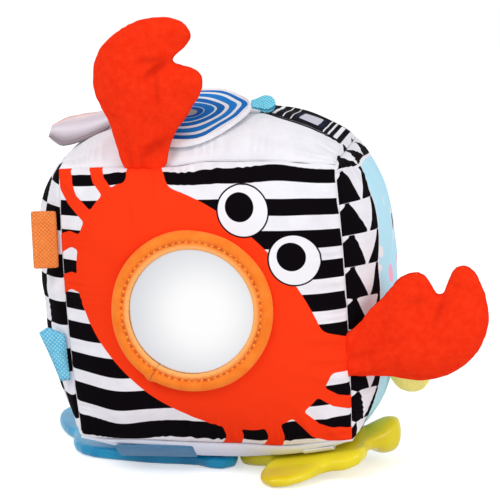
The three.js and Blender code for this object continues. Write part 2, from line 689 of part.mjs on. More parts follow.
// Ring flap: it lies on the top's front slope and stands off behind it along a straight line
const flapHinge = HALF_EDGE + SEAM_BOW - RING_FLAP_BACK; // distance of its stitched edge from the middle
function flapPoint(x, y, lift) {
  const onBody = Math.min(y, -RING_FLAP_LEAVE);
  const point = placeOnFace(FACES.top, x, onBody, lift);
  point.y = y;
  point.z += (y - onBody) * Math.tan(THREE.MathUtils.degToRad(RING_FLAP_TILT));
  return point;
}

function layFlap(profile) {
  const geometry = new THREE.LatheGeometry(profile, RING_FLAP_SEGMENTS);
  const positions = geometry.attributes.position;
  for (let i = 0; i < positions.count; i += 1) {
    const y = RING_FLAP_RADIUS - flapHinge - positions.getZ(i);
    const point = flapPoint(RING_FLAP_X + positions.getX(i), y, positions.getY(i));
    positions.setXYZ(i, point.x, point.y, point.z);
  }
  return geometry;
}

const flapLow = CLEARANCE + FLAP_PLAY;
const filmLow = flapLow + FLAP_CLOTH + FLAP_PLAY;
const coverLow = filmLow + FLAP_FILM + FLAP_PLAY;
const filmRadius = RING_FLAP_RADIUS - FLAP_HEM;
const flapCloth = (low) => layFlap(discProfile(filmRadius, low, low + FLAP_CLOTH, FLAP_HEM));
addMesh("ring_flap_backing", flapCloth(flapLow), printCloth);
addMesh("ring_flap_film", layFlap(discProfile(filmRadius, filmLow, filmLow + FLAP_FILM)), film);
addMesh("ring_flap_cover", flapCloth(coverLow), flapBlue);

// Satin flap: it drops away from its root on the top, over the left edge, and slopes down to the front
function satinPoint(lengthShare, widthShare, lift) {
  const root = placeOnFace(FACES.top, SATIN_FLAP_ROOT_X, SATIN_FLAP_Y, lift);
  const halfWidth = (SATIN_FLAP_WIDTH / 2) * Math.sqrt(1 - (SATIN_TIP_SHARE * lengthShare ** 2) ** 2);
  const slope = THREE.MathUtils.lerp(SATIN_ROOT_SLOPE_SHARE, SATIN_TIP_SLOPE_SHARE, lengthShare);
  const drop = SATIN_FLAP_DROP * (1 - (1 - lengthShare) ** 2);
  root.x -= SATIN_FLAP_LENGTH * lengthShare;
  root.y += halfWidth * widthShare;
  root.z += halfWidth * widthShare * slope - drop;
  return root;
}

function satinLayer(low, high) {
  return slabGeometry(SATIN_CELLS, SATIN_CELLS, (i, j, isHigh) =>
    satinPoint(1 - i / SATIN_CELLS, (2 * j) / SATIN_CELLS - 1, isHigh ? high : low),
  );
}

addMesh("satin_flap_backing", satinLayer(flapLow, flapLow + FLAP_CLOTH), satin);
addMesh("satin_flap_film", satinLayer(filmLow, filmLow + FLAP_FILM), film);
addMesh("satin_flap_cover", satinLayer(coverLow, coverLow + FLAP_CLOTH), satin);

// Ribbon loop, drawn with its sewn end at zero and its round end along +X, as wide as it is long in Z
function ribbonLoop(reachOut, bulge, width) {
  const loop = new THREE.Shape();
  const turn = reachOut - bulge;
  loop.moveTo(0, -RIBBON - CLEARANCE / 2);
  loop.lineTo(turn, -bulge);
  loop.absarc(turn, 0, bulge, -Math.PI / 2, Math.PI / 2, false);
  loop.lineTo(0, RIBBON + CLEARANCE / 2);
  const inside = new THREE.Path();
  inside.moveTo(RIBBON, CLEARANCE / 2);
  inside.lineTo(turn, bulge - RIBBON);
  inside.absarc(turn, 0, bulge - RIBBON, Math.PI / 2, -Math.PI / 2, true);
  inside.lineTo(RIBBON, -CLEARANCE / 2);
  loop.holes.push(inside);
  const geometry = new THREE.ExtrudeGeometry(loop, {
    depth: width,
    bevelEnabled: false,
    curveSegments: LOOP_SEGMENTS,
  });
  return geometry.translate(0, 0, -width / 2);
}

// Places a tag on the left seam: its reach outwards, its width along the seam's chord
function seatOnLeftSeam(tag, height, width, widthAxis) {
  const at = (offset) => seamPoint(new THREE.Vector3(-1, -1, (height + offset) / HALF_EDGE));
  const chord = at(width / 2).sub(at(-width / 2)).normalize();
  const outwards = chord.clone().cross(backwards).normalize();
  tag.position.copy(at(0)).addScaledVector(outwards, TAG_STAND);
  const [second, third] = widthAxis === "z" ? [backwards.clone().negate(), chord] : [chord, backwards];
  const basis = new THREE.Matrix4().makeBasis(outwards, second, third);
  tag.quaternion.setFromRotationMatrix(basis);
}

const orangeTag = addMesh(
  "orange_tag",
  ribbonLoop(ORANGE_TAG_REACH, ORANGE_TAG_BULGE, ORANGE_TAG_WIDTH),
  ribbonOrange,
);
seatOnLeftSeam(orangeTag, ORANGE_TAG_Z, ORANGE_TAG_WIDTH, "z");

// Blue tag: a ribbon folded over on the slant, pressed flat
const BLUE_TAG_SHARES = [[0, 0.44], [0.65, 0.6], [1, 0.5], [0.7, 0.05]]; // of its reach and its width
const bluePoint = (x, y) => new THREE.Vector2(x * BLUE_TAG_REACH, y * BLUE_TAG_WIDTH);
const blueOutline = BLUE_TAG_SHARES.map(([x, y]) => bluePoint(x, y));
blueOutline.push(new THREE.Vector2(BLUE_TAG_END, -BLUE_TAG_WIDTH / 2), bluePoint(0, -1 / 2));
const blueDepth = 2 * RIBBON + CLEARANCE;
const blueTagGeometry = new THREE.ExtrudeGeometry(new THREE.Shape(blueOutline), {
  depth: blueDepth,
  bevelEnabled: false,
});
blueTagGeometry.translate(0, 0, -blueDepth / 2);
const blueTag = addMesh("blue_tag", blueTagGeometry, ribbonBlue);
seatOnLeftSeam(blueTag, BLUE_TAG_Z, BLUE_TAG_WIDTH, "y");

// Pull tag at the ring flap's right edge
const pullAngle = THREE.MathUtils.degToRad(PULL_TAG_ANGLE);
const pullRadius = RING_FLAP_RADIUS + CLEARANCE;
const pullLift = (flapLow + coverLow + FLAP_CLOTH) / 2;
const pullTag = addMesh("pull_tag", ribbonLoop(PULL_TAG_REACH, PULL_TAG_BULGE, PULL_TAG_WIDTH), ribbonCyan);
pullTag.position.copy(
  flapPoint(
    RING_FLAP_X + pullRadius * Math.cos(pullAngle),
    RING_FLAP_RADIUS - flapHinge + pullRadius * Math.sin(pullAngle),
    pullLift,
  ),
);
const pullOut = new THREE.Vector3(Math.cos(pullAngle), Math.sin(pullAngle), 0);
pullTag.quaternion.setFromRotationMatrix(
  new THREE.Matrix4().makeBasis(pullOut, upwards, pullOut.clone().cross(upwards)),
);

// Blue teether, flat on the floor
function roundedSlab(outline, thick, bevel) {
  const geometry = new THREE.ExtrudeGeometry(new THREE.Shape(outline), {
    depth: thick - 2 * bevel,
    bevelThickness: bevel,
    bevelSize: bevel,
    bevelOffset: -bevel,
    bevelSegments: BEVEL_STEPS,
  });
  return geometry.translate(0, 0, bevel);
}

const teetherOutline = closedCurve(scaled(TEETHER_OUTLINE_SHARES, TEETHER_SPAN), TEETHER_POINTS);
addMesh("blue_teether", roundedSlab(teetherOutline, TEETHER_THICK, TEETHER_BEVEL), teetherBlue);

// Star teether, tilted so that it rises to the right under the block's corner
function starOutline() {
  const points = [];
  for (let i = 0; i < STAR_POINTS; i += 1) {
    const angle = (2 * Math.PI * i) / STAR_POINTS;
    const arm = ((1 + Math.cos(STAR_ARMS * angle)) / 2) ** STAR_ARM_SHARPNESS;
    const radius = THREE.MathUtils.lerp(STAR_WAIST, STAR_RADIUS, arm);
    const turned = angle + THREE.MathUtils.degToRad(STAR_TURN);
    points.push(new THREE.Vector2(radius * Math.cos(turned), radius * Math.sin(turned)));
  }
  return points;
}

const starGeometry = roundedSlab(starOutline(), STAR_THICK, STAR_BEVEL);
const tiltAxis = new THREE.Vector3(starRise.y, -starRise.x, 0);
starGeometry.applyMatrix4(new THREE.Matrix4().makeRotationAxis(tiltAxis, starTilt));
starGeometry.computeBoundingBox();
const star = addMesh("star_teether", starGeometry, starYellow);
star.position.set(STAR_X, STAR_Y, -starGeometry.boundingBox.min.z);

// Straps: strips that leave the front bottom seam and follow the block's underside to the teethers
function strapGeometry(middle, width, innerShare) {
  return slabGeometry(STRAP_CELLS, STRAP_CELLS, (i, j, isLow) => {
    const u = (middle + (i / STRAP_CELLS - 1 / 2) * width) / HALF_EDGE;
    const v = THREE.MathUtils.lerp(innerShare, STRAP_START_SHARE, j / STRAP_CELLS);
    const point = bodyPoint(FACES.bottom, u, v, 0);
    point.z -= STRAP_PLAY + (isLow ? STRAP : 0);
    return point;
  });
}

const blueStrap = strapGeometry(BLUE_STRAP_X, BLUE_STRAP_WIDTH, BLUE_STRAP_END_SHARE);
const starStrap = strapGeometry(STAR_STRAP_X, STAR_STRAP_WIDTH, STAR_STRAP_END_SHARE);
addMesh("blue_teether_strap", blueStrap, ribbonBlue);
addMesh("star_teether_strap", starStrap, printCloth);

// Pod: a stuffed oval that stands out of the right face on a short tab
const podRoot = placeOnFace(FACES.right, POD_Y, POD_Z, CLEARANCE);
function podSolid(inset) {
  const form = new THREE.SphereGeometry(1, POD_SEGMENTS, POD_SEGMENTS / 2);
  form.scale(POD_REACH / 2 - inset, POD_HALF_THICK - inset, POD_HALF_HEIGHT - inset);
  form.translate(podRoot.x + POD_TAB + CLEARANCE + POD_REACH / 2, podRoot.y, podRoot.z);
  return toSolid(form);
}

const podShell = podSolid(0).subtract(podSolid(POD_COVER));
const podSeam = podRoot.y;
const podNear = cutBox(
  new THREE.Vector3(0, podSeam - reach, -reach),
  new THREE.Vector3(2 * reach, podSeam - CLEARANCE / 2, 2 * reach),
);
const podFar = cutBox(
  new THREE.Vector3(0, podSeam + CLEARANCE / 2, -reach),
  new THREE.Vector3(2 * reach, podSeam + reach, 2 * reach),
);
addMesh("pod_front_cover", toGeometry(podShell.intersect(podNear)), velourLime);
addMesh("pod_back_cover", toGeometry(podShell.intersect(podFar)), velourLime);
addMesh("pod_filling", toGeometry(podSolid(POD_COVER + CLEARANCE)), fibre);
const podTab = addMesh("pod_tab", new THREE.BoxGeometry(POD_TAB, RIBBON, POD_TAB_WIDTH), velourLime);
podTab.position.set(podRoot.x + POD_TAB / 2, podRoot.y, podRoot.z);

export default block;
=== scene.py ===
import math

import bmesh
import bpy
import numpy as np
from mathutils import Matrix, Vector


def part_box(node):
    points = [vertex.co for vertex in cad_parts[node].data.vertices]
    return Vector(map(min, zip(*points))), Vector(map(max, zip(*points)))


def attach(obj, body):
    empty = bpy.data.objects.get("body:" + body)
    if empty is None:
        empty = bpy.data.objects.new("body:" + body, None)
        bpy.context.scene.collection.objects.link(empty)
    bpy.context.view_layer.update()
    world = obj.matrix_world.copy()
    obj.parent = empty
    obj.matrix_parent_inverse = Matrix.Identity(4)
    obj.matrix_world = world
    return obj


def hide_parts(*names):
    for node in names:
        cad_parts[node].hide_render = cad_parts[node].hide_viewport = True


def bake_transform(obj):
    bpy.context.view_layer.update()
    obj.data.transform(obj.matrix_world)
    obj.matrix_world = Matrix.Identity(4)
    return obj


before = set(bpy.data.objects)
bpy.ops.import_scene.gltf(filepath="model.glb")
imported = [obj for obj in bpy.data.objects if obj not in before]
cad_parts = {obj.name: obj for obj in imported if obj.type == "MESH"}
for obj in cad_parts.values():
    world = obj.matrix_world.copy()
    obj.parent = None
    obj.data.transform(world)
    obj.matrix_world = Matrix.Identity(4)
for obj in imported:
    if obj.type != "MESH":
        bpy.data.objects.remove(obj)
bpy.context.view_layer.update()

MM = 0.001  # lengths below are in millimetres, as on the sewing pattern, and meshes are in metres

# The block's sewn form

HALF_EDGE = 68.0  # half of a seam
CROWN = 21.0  # how far the middle of a face stands out
SEAM_BOW = 2.0  # how far the middle of a seam bows out
LEAN_SHARE = 0.055  # sideways lean for each unit of height
BODY_HEIGHT = 88.5  # the block's middle above the floor
BODY_MIDDLE = np.array((0, 0, BODY_HEIGHT))
EDGE_CROWDING = 0.5  # how much a panel's grid crowds towards its seams

# Each face's direction outwards, and its two directions along the cloth
FACES = {
    "front": np.array(((0, -1, 0), (1, 0, 0), (0, 0, 1)), float),
    "back": np.array(((0, 1, 0), (-1, 0, 0), (0, 0, 1)), float),
    "right": np.array(((1, 0, 0), (0, 1, 0), (0, 0, 1)), float),
    "left": np.array(((-1, 0, 0), (0, -1, 0), (0, 0, 1)), float),
    "top": np.array(((0, 0, 1), (1, 0, 0), (0, 1, 0)), float),
    "bottom": np.array(((0, 0, -1), (1, 0, 0), (0, -1, 0)), float),
}

# The teethers press hollows into the underside, along the middle line of one and the arms of the other
TEETHER_SPAN = 112.0
TEETHER_HALF_WIDTH = 0.1 * TEETHER_SPAN
TEETHER_LINE = TEETHER_SPAN * np.array(
    [(-0.79, 0.42), (-0.74, 0.2), (-0.63, -0.02), (-0.57, -0.22), (-0.42, -0.32), (-0.2, -0.345), (0.03, -0.4)]
)
TEETHER_TOP = 8.2
STAR_CENTRE = np.array((54.0, -46.0))
STAR_RADIUS, STAR_WAIST, STAR_ARMS = 43.0, 25.0, 5
STAR_TURN, STAR_TILT, STAR_TILT_TURN = math.radians(-117), math.radians(9.6), math.radians(25.6)
STAR_TOP = 9.2
STAR_RISE = np.array((math.cos(STAR_TILT_TURN), math.sin(STAR_TILT_TURN)))
STAR_KNOB = 2  # the arm that ends in a knob
HOLLOW_NEAR, HOLLOW_FAR = 7, 19  # a hollow is level this far past a teether, and has faded out this far past it
STAR_TIPS = [
    STAR_CENTRE + STAR_RADIUS * np.array((math.cos(a), math.sin(a)))
    for a in (STAR_TURN + 2 * math.pi * i / STAR_ARMS for i in range(STAR_ARMS))
]


def smooth(value, low, high):
    """0 below low, 1 above high, and an even curve between them."""
    share = np.clip((value - low) / (high - low), 0, 1)
    return share * share * (3 - 2 * share)


def bell(value, middle, width):
    """1 in the middle, and down to 0 on both sides."""
    return np.exp(-(((value - middle) / width) ** 2))


def unit(vector):
    return vector / np.linalg.norm(vector)


def to_segment(points, start, end):
    """Distance of each point from a straight segment, and its share along that."""
    start, end = np.asarray(start, float), np.asarray(end, float)
    along = end - start
    share = np.clip((points - start) @ along / (along @ along), 0, 1)
    return np.linalg.norm(points - start - share[:, None] * along, axis=1), share


def star_rise(flat):
    """How far the tilted star has risen at these places in plan."""
    lowest = min((tip - STAR_CENTRE) @ STAR_RISE for tip in STAR_TIPS)
    return ((flat - STAR_CENTRE) @ STAR_RISE - lowest) * math.tan(STAR_TILT)


def clear_height(flat):
    """Height that the underside clears over the teethers."""
    steps = zip(TEETHER_LINE, TEETHER_LINE[1:])
    parts = [(start, end, TEETHER_HALF_WIDTH, TEETHER_TOP) for start, end in steps]
    star_top = star_rise(flat) + STAR_TOP
    parts += [(STAR_CENTRE, tip, (STAR_RADIUS - STAR_WAIST) / 2, star_top) for tip in STAR_TIPS]
    height = np.zeros(len(flat))
    for start, end, half_width, top in parts:
        away = to_segment(flat, start, end)[0] - half_width
        height = np.maximum(height, (1 - smooth(away, HOLLOW_NEAR, HOLLOW_FAR)) * top)
    return height


def puffed(cube):
    """Points of the unit cube's surface on the stuffed block, from its middle."""
    out = np.empty_like(cube)
    for axis in range(3):
        c = cube[:, axis]
        a, b = np.abs(cube[:, (axis + 1) % 3]), np.abs(cube[:, (axis + 2) % 3])
        on_face = np.where(np.abs(c) > 1 - 1e-9, np.sign(c), 0)
        crown = (CROWN - SEAM_BOW) * (1 - a**4) * (1 - b**4)
        out[:, axis] = HALF_EDGE * c + c * SEAM_BOW * (1 - a * a * b * b) + on_face * crown
    out[:, 0] -= LEAN_SHARE * out[:, 2]
    low = cube[:, 2] < -1 + 1e-9
    dent = np.minimum(clear_height(out[low, :2]) - BODY_HEIGHT, -HALF_EDGE - SEAM_BOW - 0.3)
    out[low, 2] = np.maximum(out[low, 2], dent)
    return out


def body_point(*cube):
    """The place on the stuffed block of one point of the unit cube's surface."""
    return puffed(np.array([cube]))[0] + BODY_MIDDLE


def on_cube(face, u, v):
    out, u_axis, v_axis = FACES[face]
    return out + np.outer(u, u_axis) + np.outer(v, v_axis)


def face_point(face, along, across, lift=0.0):
    """Points on a face by their lengths along it from the block's middle, lifted off it."""
    out, u_axis, v_axis = FACES[face]
    along, across = np.broadcast_arrays(np.asarray(along, float), np.asarray(across, float))
    u, v = along / HALF_EDGE, across / HALF_EDGE
    for _ in range(6):
        point = puffed(on_cube(face, u, v))
        u = u + (along - point @ u_axis) / HALF_EDGE
        v = v + (across - point @ v_axis) / HALF_EDGE
    point = puffed(on_cube(face, u, v)) + np.multiply.outer(np.broadcast_to(lift, along.shape), out)
    return point + BODY_MIDDLE


def seam_sag(points):
    """How far the sewn edges over and under the front hang below the even form."""
    x, y, z = points.T
    over = 2.6 * (1 - smooth(x, -16, 4)) - 0.6 * bell(x, 33, 14)
    under = 1.0 + 1.6 * bell(x, 39, 16) + 1.2 * bell(x, -58, 16)
    # The two seams lie 159 and 18 mm above the floor and 69 mm in front of the block's middle
    drop = over * bell(z, 159, 11) + under * bell(z, 18, 9)
    return -drop * bell(y, -69, 13)


def waves(points, length, seed):
    """Smooth unevenness between about -1 and 1, with that length from crest to crest."""
    rng, count = np.random.default_rng(seed), 9
    turn = rng.normal(size=(count, points.shape[1]))
    turn /= np.linalg.norm(turn, axis=1)[:, None]
    turn *= (2 * math.pi / (length * rng.uniform(0.7, 1.5, count)))[:, None]
    return np.sin(points @ turn.T + rng.uniform(0, 2 * math.pi, count)).sum(axis=1) / math.sqrt(2 * count)


def fold(points, start, end, width, height):
    """A soft ridge along a line that fades out at both ends."""
    away, share = to_segment(points, start, end)
    return height * bell(away, 0, width) * np.sin(math.pi * (0.06 + 0.88 * share)) ** 0.7


# Meshes

def piece(name, bm, body, node_names=(), slot=None, material=None, **values):
    """A finished bmesh as a piece that stands for CAD nodes, on a body or on none."""
    mesh = bpy.data.meshes.new(name)
    bm.to_mesh(mesh)
    bm.free()
    made = bpy.data.objects.new(name, mesh)
    bpy.context.collection.objects.link(made)
    shade_smooth(made)
    if body:
        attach(made, body)
    if node_names:
        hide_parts(*node_names)
    if material:
        mesh.materials.append(material)
    keep_values(made, **values)
    return made


def shade_smooth(made):
    made.data.polygons.foreach_set("use_smooth", [True] * len(made.data.polygons))


def set_points(bm, points):
    """Moves a bmesh's vertices to points in millimetres."""
    for vertex, point in zip(bm.verts, points * MM):
        vertex.co = point


def get_points(bm):
    return np.array([vertex.co[:] for vertex in bm.verts]) / MM


def get_normals(bm):
    bm.normal_update()
    return np.array([vertex.normal[:] for vertex in bm.verts])


def keep_values(made, **values):
    """Stores one number for each vertex, which the materials read."""
    for name, numbers in values.items():
        made.data.attributes.new(name, "FLOAT", "POINT").data.foreach_set("value", numbers.astype(np.float32))


def settle(made):
    """Applies a piece's modifiers to its mesh."""
    shaped = made.evaluated_get(bpy.context.evaluated_depsgraph_get())
    mesh = bpy.data.meshes.new_from_object(shaped)
    made.modifiers.clear()
    made.data = mesh
    shade_smooth(made)
    mesh.update()


def thicken(made, thick, offset=-1):
    wall = made.modifiers.new("cloth_thickness", "SOLIDIFY")
    wall.thickness = thick * MM
    wall.offset = offset


def subdivide(made):
    finer = made.modifiers.new("finer", "SUBSURF")
    finer.levels = finer.render_levels = 1


def one_skin(made, voxel):
    """Joins a piece's overlapping forms under one even skin."""
    shell = made.modifiers.new("one_skin", "REMESH")
    shell.mode = "VOXEL"
    shell.voxel_size = voxel * MM
    settle(made)


def open_mesh(made):
    bm = bmesh.new()
    bm.from_mesh(made.data)
    return bm


def close_mesh(bm, made):
    bm.to_mesh(made.data)
    bm.free()


def relax(bm, times, factor=0.5):
    """Evens out a mesh by moving each vertex towards its neighbours."""
    for _ in range(times):
        bmesh.ops.smooth_vert(bm, verts=bm.verts, factor=factor, use_axis_x=True, use_axis_y=True,
                              use_axis_z=True)


def cad_copy(node_names):
    """The CAD shapes of these nodes in one merged bmesh."""
    bm = bmesh.new()
    for name in node_names:
        bm.from_mesh(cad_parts[name].data)
    bmesh.ops.remove_doubles(bm, verts=bm.verts, dist=0.01 * MM)
    return bm


def spun(profile, steps, cuts=0, closed=False):
    """A round form from the radius and height of each point of its profile, spun about Z."""
    bm = bmesh.new()
    corners = [bm.verts.new((x * MM, 0, z * MM)) for x, z in profile]
    edges = [bm.edges.new(pair) for pair in zip(corners, corners[1:] + corners[:1] * closed)]
    if cuts:
        bmesh.ops.subdivide_edges(bm, edges=edges, cuts=cuts)
    bmesh.ops.spin(bm, geom=bm.verts[:] + bm.edges[:], cent=(0, 0, 0), axis=(0, 0, 1), angle=2 * math.pi,
                   steps=steps, use_merge=True)
    bmesh.ops.remove_doubles(bm, verts=bm.verts, dist=0.02 * MM)
    bmesh.ops.recalc_face_normals(bm, faces=bm.faces)
    return bm


def grid(cells_u, cells_v):
    """A flat grid from -1 to 1 both ways, and the place of each of its vertices."""
    bm = bmesh.new()
    bmesh.ops.create_grid(bm, x_segments=cells_u, y_segments=cells_v, size=1)
    return bm, np.array([vertex.co[:2] for vertex in bm.verts]).astype(float)


# Materials: what they share

def linear(hex_colour):
    """sRGB hex to the linear colour that a shader takes."""
    parts = [int(hex_colour[i : i + 2], 16) / 255 for i in (0, 2, 4)]
    return (*(c / 12.92 if c <= 0.04045 else ((c + 0.055) / 1.055) ** 2.4 for c in parts), 1)


def add(tree, kind, links=None, **settings):
    """Adds a node with its settings, and fills its inputs.

    An input takes a number or a colour, a socket, a node for its first output, or the name of numbers that the
    mesh keeps for each vertex.
    """
    made = tree.nodes.new(kind)
    for key, value in settings.items():
        setattr(made, key, value)
    for key, value in (links or {}).items():
        if isinstance(value, str):
            value = add(tree, "ShaderNodeAttribute", attribute_name=value).outputs["Fac"]
        if isinstance(value, bpy.types.Node):
            value = value.outputs[0]
        if isinstance(value, bpy.types.NodeSocket):
            tree.links.new(value, made.inputs[key])
        else:
            made.inputs[key].default_value = value
    return made


def start_material(name):
    made = bpy.data.materials.new(name)
    made.use_nodes = True
    made.node_tree.nodes.clear()
    return made, made.node_tree


def finish_material(made, colour, bump=None, **sockets):
    """Closes a material with its shader and output."""
    tree = made.node_tree
    links = {key.replace("_", " "): value for key, value in sockets.items()}
    links["Base Color"] = colour
    if bump:
        links["Normal"] = bump
    shader = add(tree, "ShaderNodeBsdfPrincipled", links)
    add(tree, "ShaderNodeOutputMaterial", {"Surface": shader})
    return made


def set_stops(ramp, stops):
    """Gives a colour ramp a hex at each of its positions."""
    elements = ramp.color_ramp.elements
    while len(elements) < len(stops):
        elements.new(1)
    for element, (position, hex_colour) in zip(elements, stops):
        element.position = position
        element.color = linear(hex_colour)


def mottled(tree, hexes, size, detail=3.0, spread=0.2):
    """A colour that drifts between two hexes over patches of a size in millimetres."""
    place = add(tree, "ShaderNodeTexCoord").outputs["Object"]
    patches = add(tree, "ShaderNodeTexNoise", {"Vector": place, "Scale": 1 / (size * MM), "Detail": detail})
    ramp = add(tree, "ShaderNodeValToRGB", {"Fac": patches})
    set_stops(ramp, ((0.5 - spread, hexes[0]), (0.5 + spread, hexes[1])))
    return ramp


def rough_bump(tree, size, height, detail=4.0, before=None):
    """Fine unevenness of a size and height in millimetres."""
    place = add(tree, "ShaderNodeTexCoord").outputs["Object"]
    grain = add(tree, "ShaderNodeTexNoise", {"Vector": place, "Scale": 1 / (size * MM), "Detail": detail})
    links = {"Height": grain, "Strength": 1.0, "Distance": height * MM}
    if before:
        links["Normal"] = before
    return add(tree, "ShaderNodeBump", links)


def plain_material(name, hexes, patch, grain, height, **sockets):
    """A finish of one mottled colour, with its patches' size, its grain's size and its grain's height."""
    made, tree = start_material(name)
    return finish_material(made, mottled(tree, hexes, patch), rough_bump(tree, grain, height), **sockets)


# Print on the panels: each shape is a signed distance in millimetres inside its outline

BLACK, WHITE, RED = "0c080c", "f1f0f6", "fb3c17"
SKY, PINK, GREY, NAVY, LILAC, COOL_WHITE = "bdeafb", "fdb9d4", "8f919c", "141c33", "d2cfdd", "edf1ff"
PRINT_BLUR = 0.14  # half of the width over which a printed edge fades


def union(shapes):
    return np.max(shapes, axis=0)


def overlap(*shapes):
    return np.min(np.broadcast_arrays(*shapes), axis=0)


def discs(s, t, centres, radius):
    return union([radius - np.hypot(s - x, t - y) for x, y in centres])


def line_band(s, t, points, widths):
    """A band with round ends along a line, with its width at each point."""
    flat = np.stack([s, t], 1)
    parts = []
    for start, end, width, next_width in zip(points, points[1:], widths, widths[1:]):
        away, share = to_segment(flat, start, end)
        parts.append((width + (next_width - width) * share) / 2 - away)
    return union(parts)


def joined(a, b, radius):
    """Union of two shapes with a rounded inner corner."""
    mix = np.clip(0.5 + (a - b) / (2 * radius), 0, 1)
    return b + (a - b) * mix + radius * mix * (1 - mix)


# The crab's body is an oval with a broader brow, turned 45 degrees; its halves mirror each other
CRAB_HALF_LENGTH, CRAB_HALF_WIDTH, CRAB_RISE = 68.5, 52.5, 3
BROW_RADIUS, BROW_DROP = 100, 57
LEGS = [
    ([(-65.4, 70), (-63.5, 58), (-60.2, 50.4), (-51.5, 42)], [7.4, 7.4, 6.6, 6.4]),
    ([(-49.6, 70), (-46.6, 60.5), (-40.2, 52)], [6.6, 6, 5.6]),
    ([(-70, 27), (-66, 30), (-62, 31.4), (-53, 29)], [8, 7.6, 7.6, 8]),
    ([(-70, 6.6), (-66, 9.8), (-62, 11.2), (-53, 9)], [7.8, 7.8, 8.2, 8.8]),
]
EYES, EYE_RADIUS, EYE_RIM = ((23.4, 45.6), (45.8, 22.8)), 12.3, 0.75
PUPILS, PUPIL_RADIUS = ((21.9, 47.2), (44.5, 24.4)), 6.7
# Each black band's upper edge, and its width
BANDS = [(64.2, 6.4), (50.7, 7.7), (36.3, 8.4), (21.8, 9.0), (5.9, 8.4),
         (-8.5, 8.6), (-23.6, 8.7), (-38.8, 9.8), (-55.4, 9.0)]


def painted_seam_shadow(s, t, side, seed):
    """The thin broken shadow where two panels meet along the top or bottom seam."""
    strength = 0.16 + 0.2 * waves(np.stack([s, t * 0], 1), 13, seed) + (0.14 if side < 0 else 0)
    return strength - np.abs(side * t - 67.3)


def front_ink(s, t):
    """A red crab with two round eyes on black and white bands."""
    along, across = (s + t) / math.sqrt(2) - CRAB_RISE, (s - t) / math.sqrt(2)
    oval = np.hypot(across / CRAB_HALF_LENGTH, along / CRAB_HALF_WIDTH)
    slope = np.hypot(across / CRAB_HALF_LENGTH**2, along / CRAB_HALF_WIDTH**2) / np.maximum(oval, 0.05)
    shell = (1 - oval) / np.maximum(slope, 1e-3)
    brow = BROW_RADIUS - np.hypot(across, along + CRAB_RISE + BROW_DROP)
    crab = -joined(-shell, -brow, 5)
    for x, y in ((s, t), (t, s)):
        arm = overlap(x + 32.4, -(x + 15.5) - (y - 66) * 0.34, y - 40)
        crab = joined(crab, arm, 3)
        for points, widths in LEGS:
            crab = joined(crab, line_band(x, y, points, widths), 1.6)
    # The bands rise to the right and sag where the stuffed cloth does
    level = (
        t
        - 0.45 * s / 60
        + 1.2 * bell(s, -10, 18) * smooth(t, 45, 60)
        - 1.2 * bell(s, 42, 11) * smooth(t, 48, 62)
        + 2.1 * bell(s, -42, 13) * smooth(-t, 15, 35)
        + 0.25 * waves(np.stack([s, t], 1), 26, 12)
    )
    bands = union([overlap(top - level, level - top + width) for top, width in BANDS])
    edge = HALF_EDGE - np.abs(s) - 0.5 + 0.5 * waves(np.stack([s * 0, t], 1), 9, 11)
    # Painted shadow lines along the top and bottom seams, drawn in the black ink with the bands
    upper = overlap(painted_seam_shadow(s, t, 1, 13), s + 16)
    lower = overlap(painted_seam_shadow(s, t, -1, 14), 4 - np.abs(s + 8) / 13)
    eyes = discs(s, t, EYES, EYE_RADIUS)
    return [("bands", BLACK, union([overlap(bands, edge), upper, lower])), ("crab", RED, crab),
            ("rims", BLACK, eyes), ("eyes", WHITE, eyes - EYE_RIM),
            ("pupils", BLACK, discs(s, t, PUPILS, PUPIL_RADIUS))]


SPIKE_FEET = (-67.5, -35.0, -1.0, 44.0, 78.0)
SPIKE_TIPS = (-52.0, -22.0, 25.0, 62.0)
SPIKE_REACH = 6.8
ROW_HEIGHT = 15.3
SPOTS = 22
MIDDLE_DOT, MIDDLE_RADIUS = (2, 29), 4.4


def bordered_ink(s, t, seed, first_spots):
    """Light blue middle with spots, beside rows of black and white triangles and under a row of spikes."""
    depth = HALF_EDGE + s
    width = 18 + 8.5 * smooth(t, 10, 45) + 9 * smooth(t, 50, 62)
    share, part = depth / width, np.mod(t - 63, ROW_HEIGHT) / ROW_HEIGHT
    hang = overlap(share - 0.56 + 0.36 * part, 0.56 + 0.34 * part**0.7 - share) * width * 0.85
    nick = (0.65 * (part - 0.8) - share) * width * 0.8
    gap = 0.22 - ROW_HEIGHT * overlap(part, 1 - part)
    foot = 64.6 - 4.2 * smooth(s, -67, 45) - 2.2 * bell(s, -38, 20)
    rows = overlap(-union([hang, nick, gap]), width - depth, foot - 0.9 - t)
    spikes = []
    for start, tip, end in zip(SPIKE_FEET, SPIKE_TIPS, SPIKE_FEET[1:]):
        reach = SPIKE_REACH * overlap((s - start) / (tip - start), (end - s) / (end - tip))
        spikes.append(overlap(foot + reach - t, t - foot))
    sky = overlap(depth - width - 0.7, foot - 1.3 - t)
    # A spot has its place, its radius, whether it is a pink oval or a white dot, and how wide it is drawn
    spots = list(first_spots)
    rng = np.random.default_rng(seed)
    for i in range(SPOTS):
        oval = i % 4 == 3
        place = rng.uniform(-12, 60), rng.uniform(-60, 50)
        spots.append((*place, rng.uniform(1.8, 4.2), oval, 1 - 0.35 * oval))
    shapes = {True: [], False: []}
    for x, y, radius, oval, stretch in spots:
        shapes[oval].append(radius * (1.3 if oval else 1) - np.hypot((s - x) / stretch, t - y))
    middle = discs(s, t, [MIDDLE_DOT], MIDDLE_RADIUS)
    return [("rows", BLACK, rows), ("spikes", BLACK, union(spikes)), ("sky", SKY, sky),
            ("ovals", PINK, overlap(union(shapes[True]), sky)),
            ("dots", WHITE, overlap(union([*shapes[False], middle + 3]), sky)), ("middle", BLACK, middle)]


CHECK_SIZE, CHECK_COLUMNS, CHECK_START = 11.8, 4, 59.6


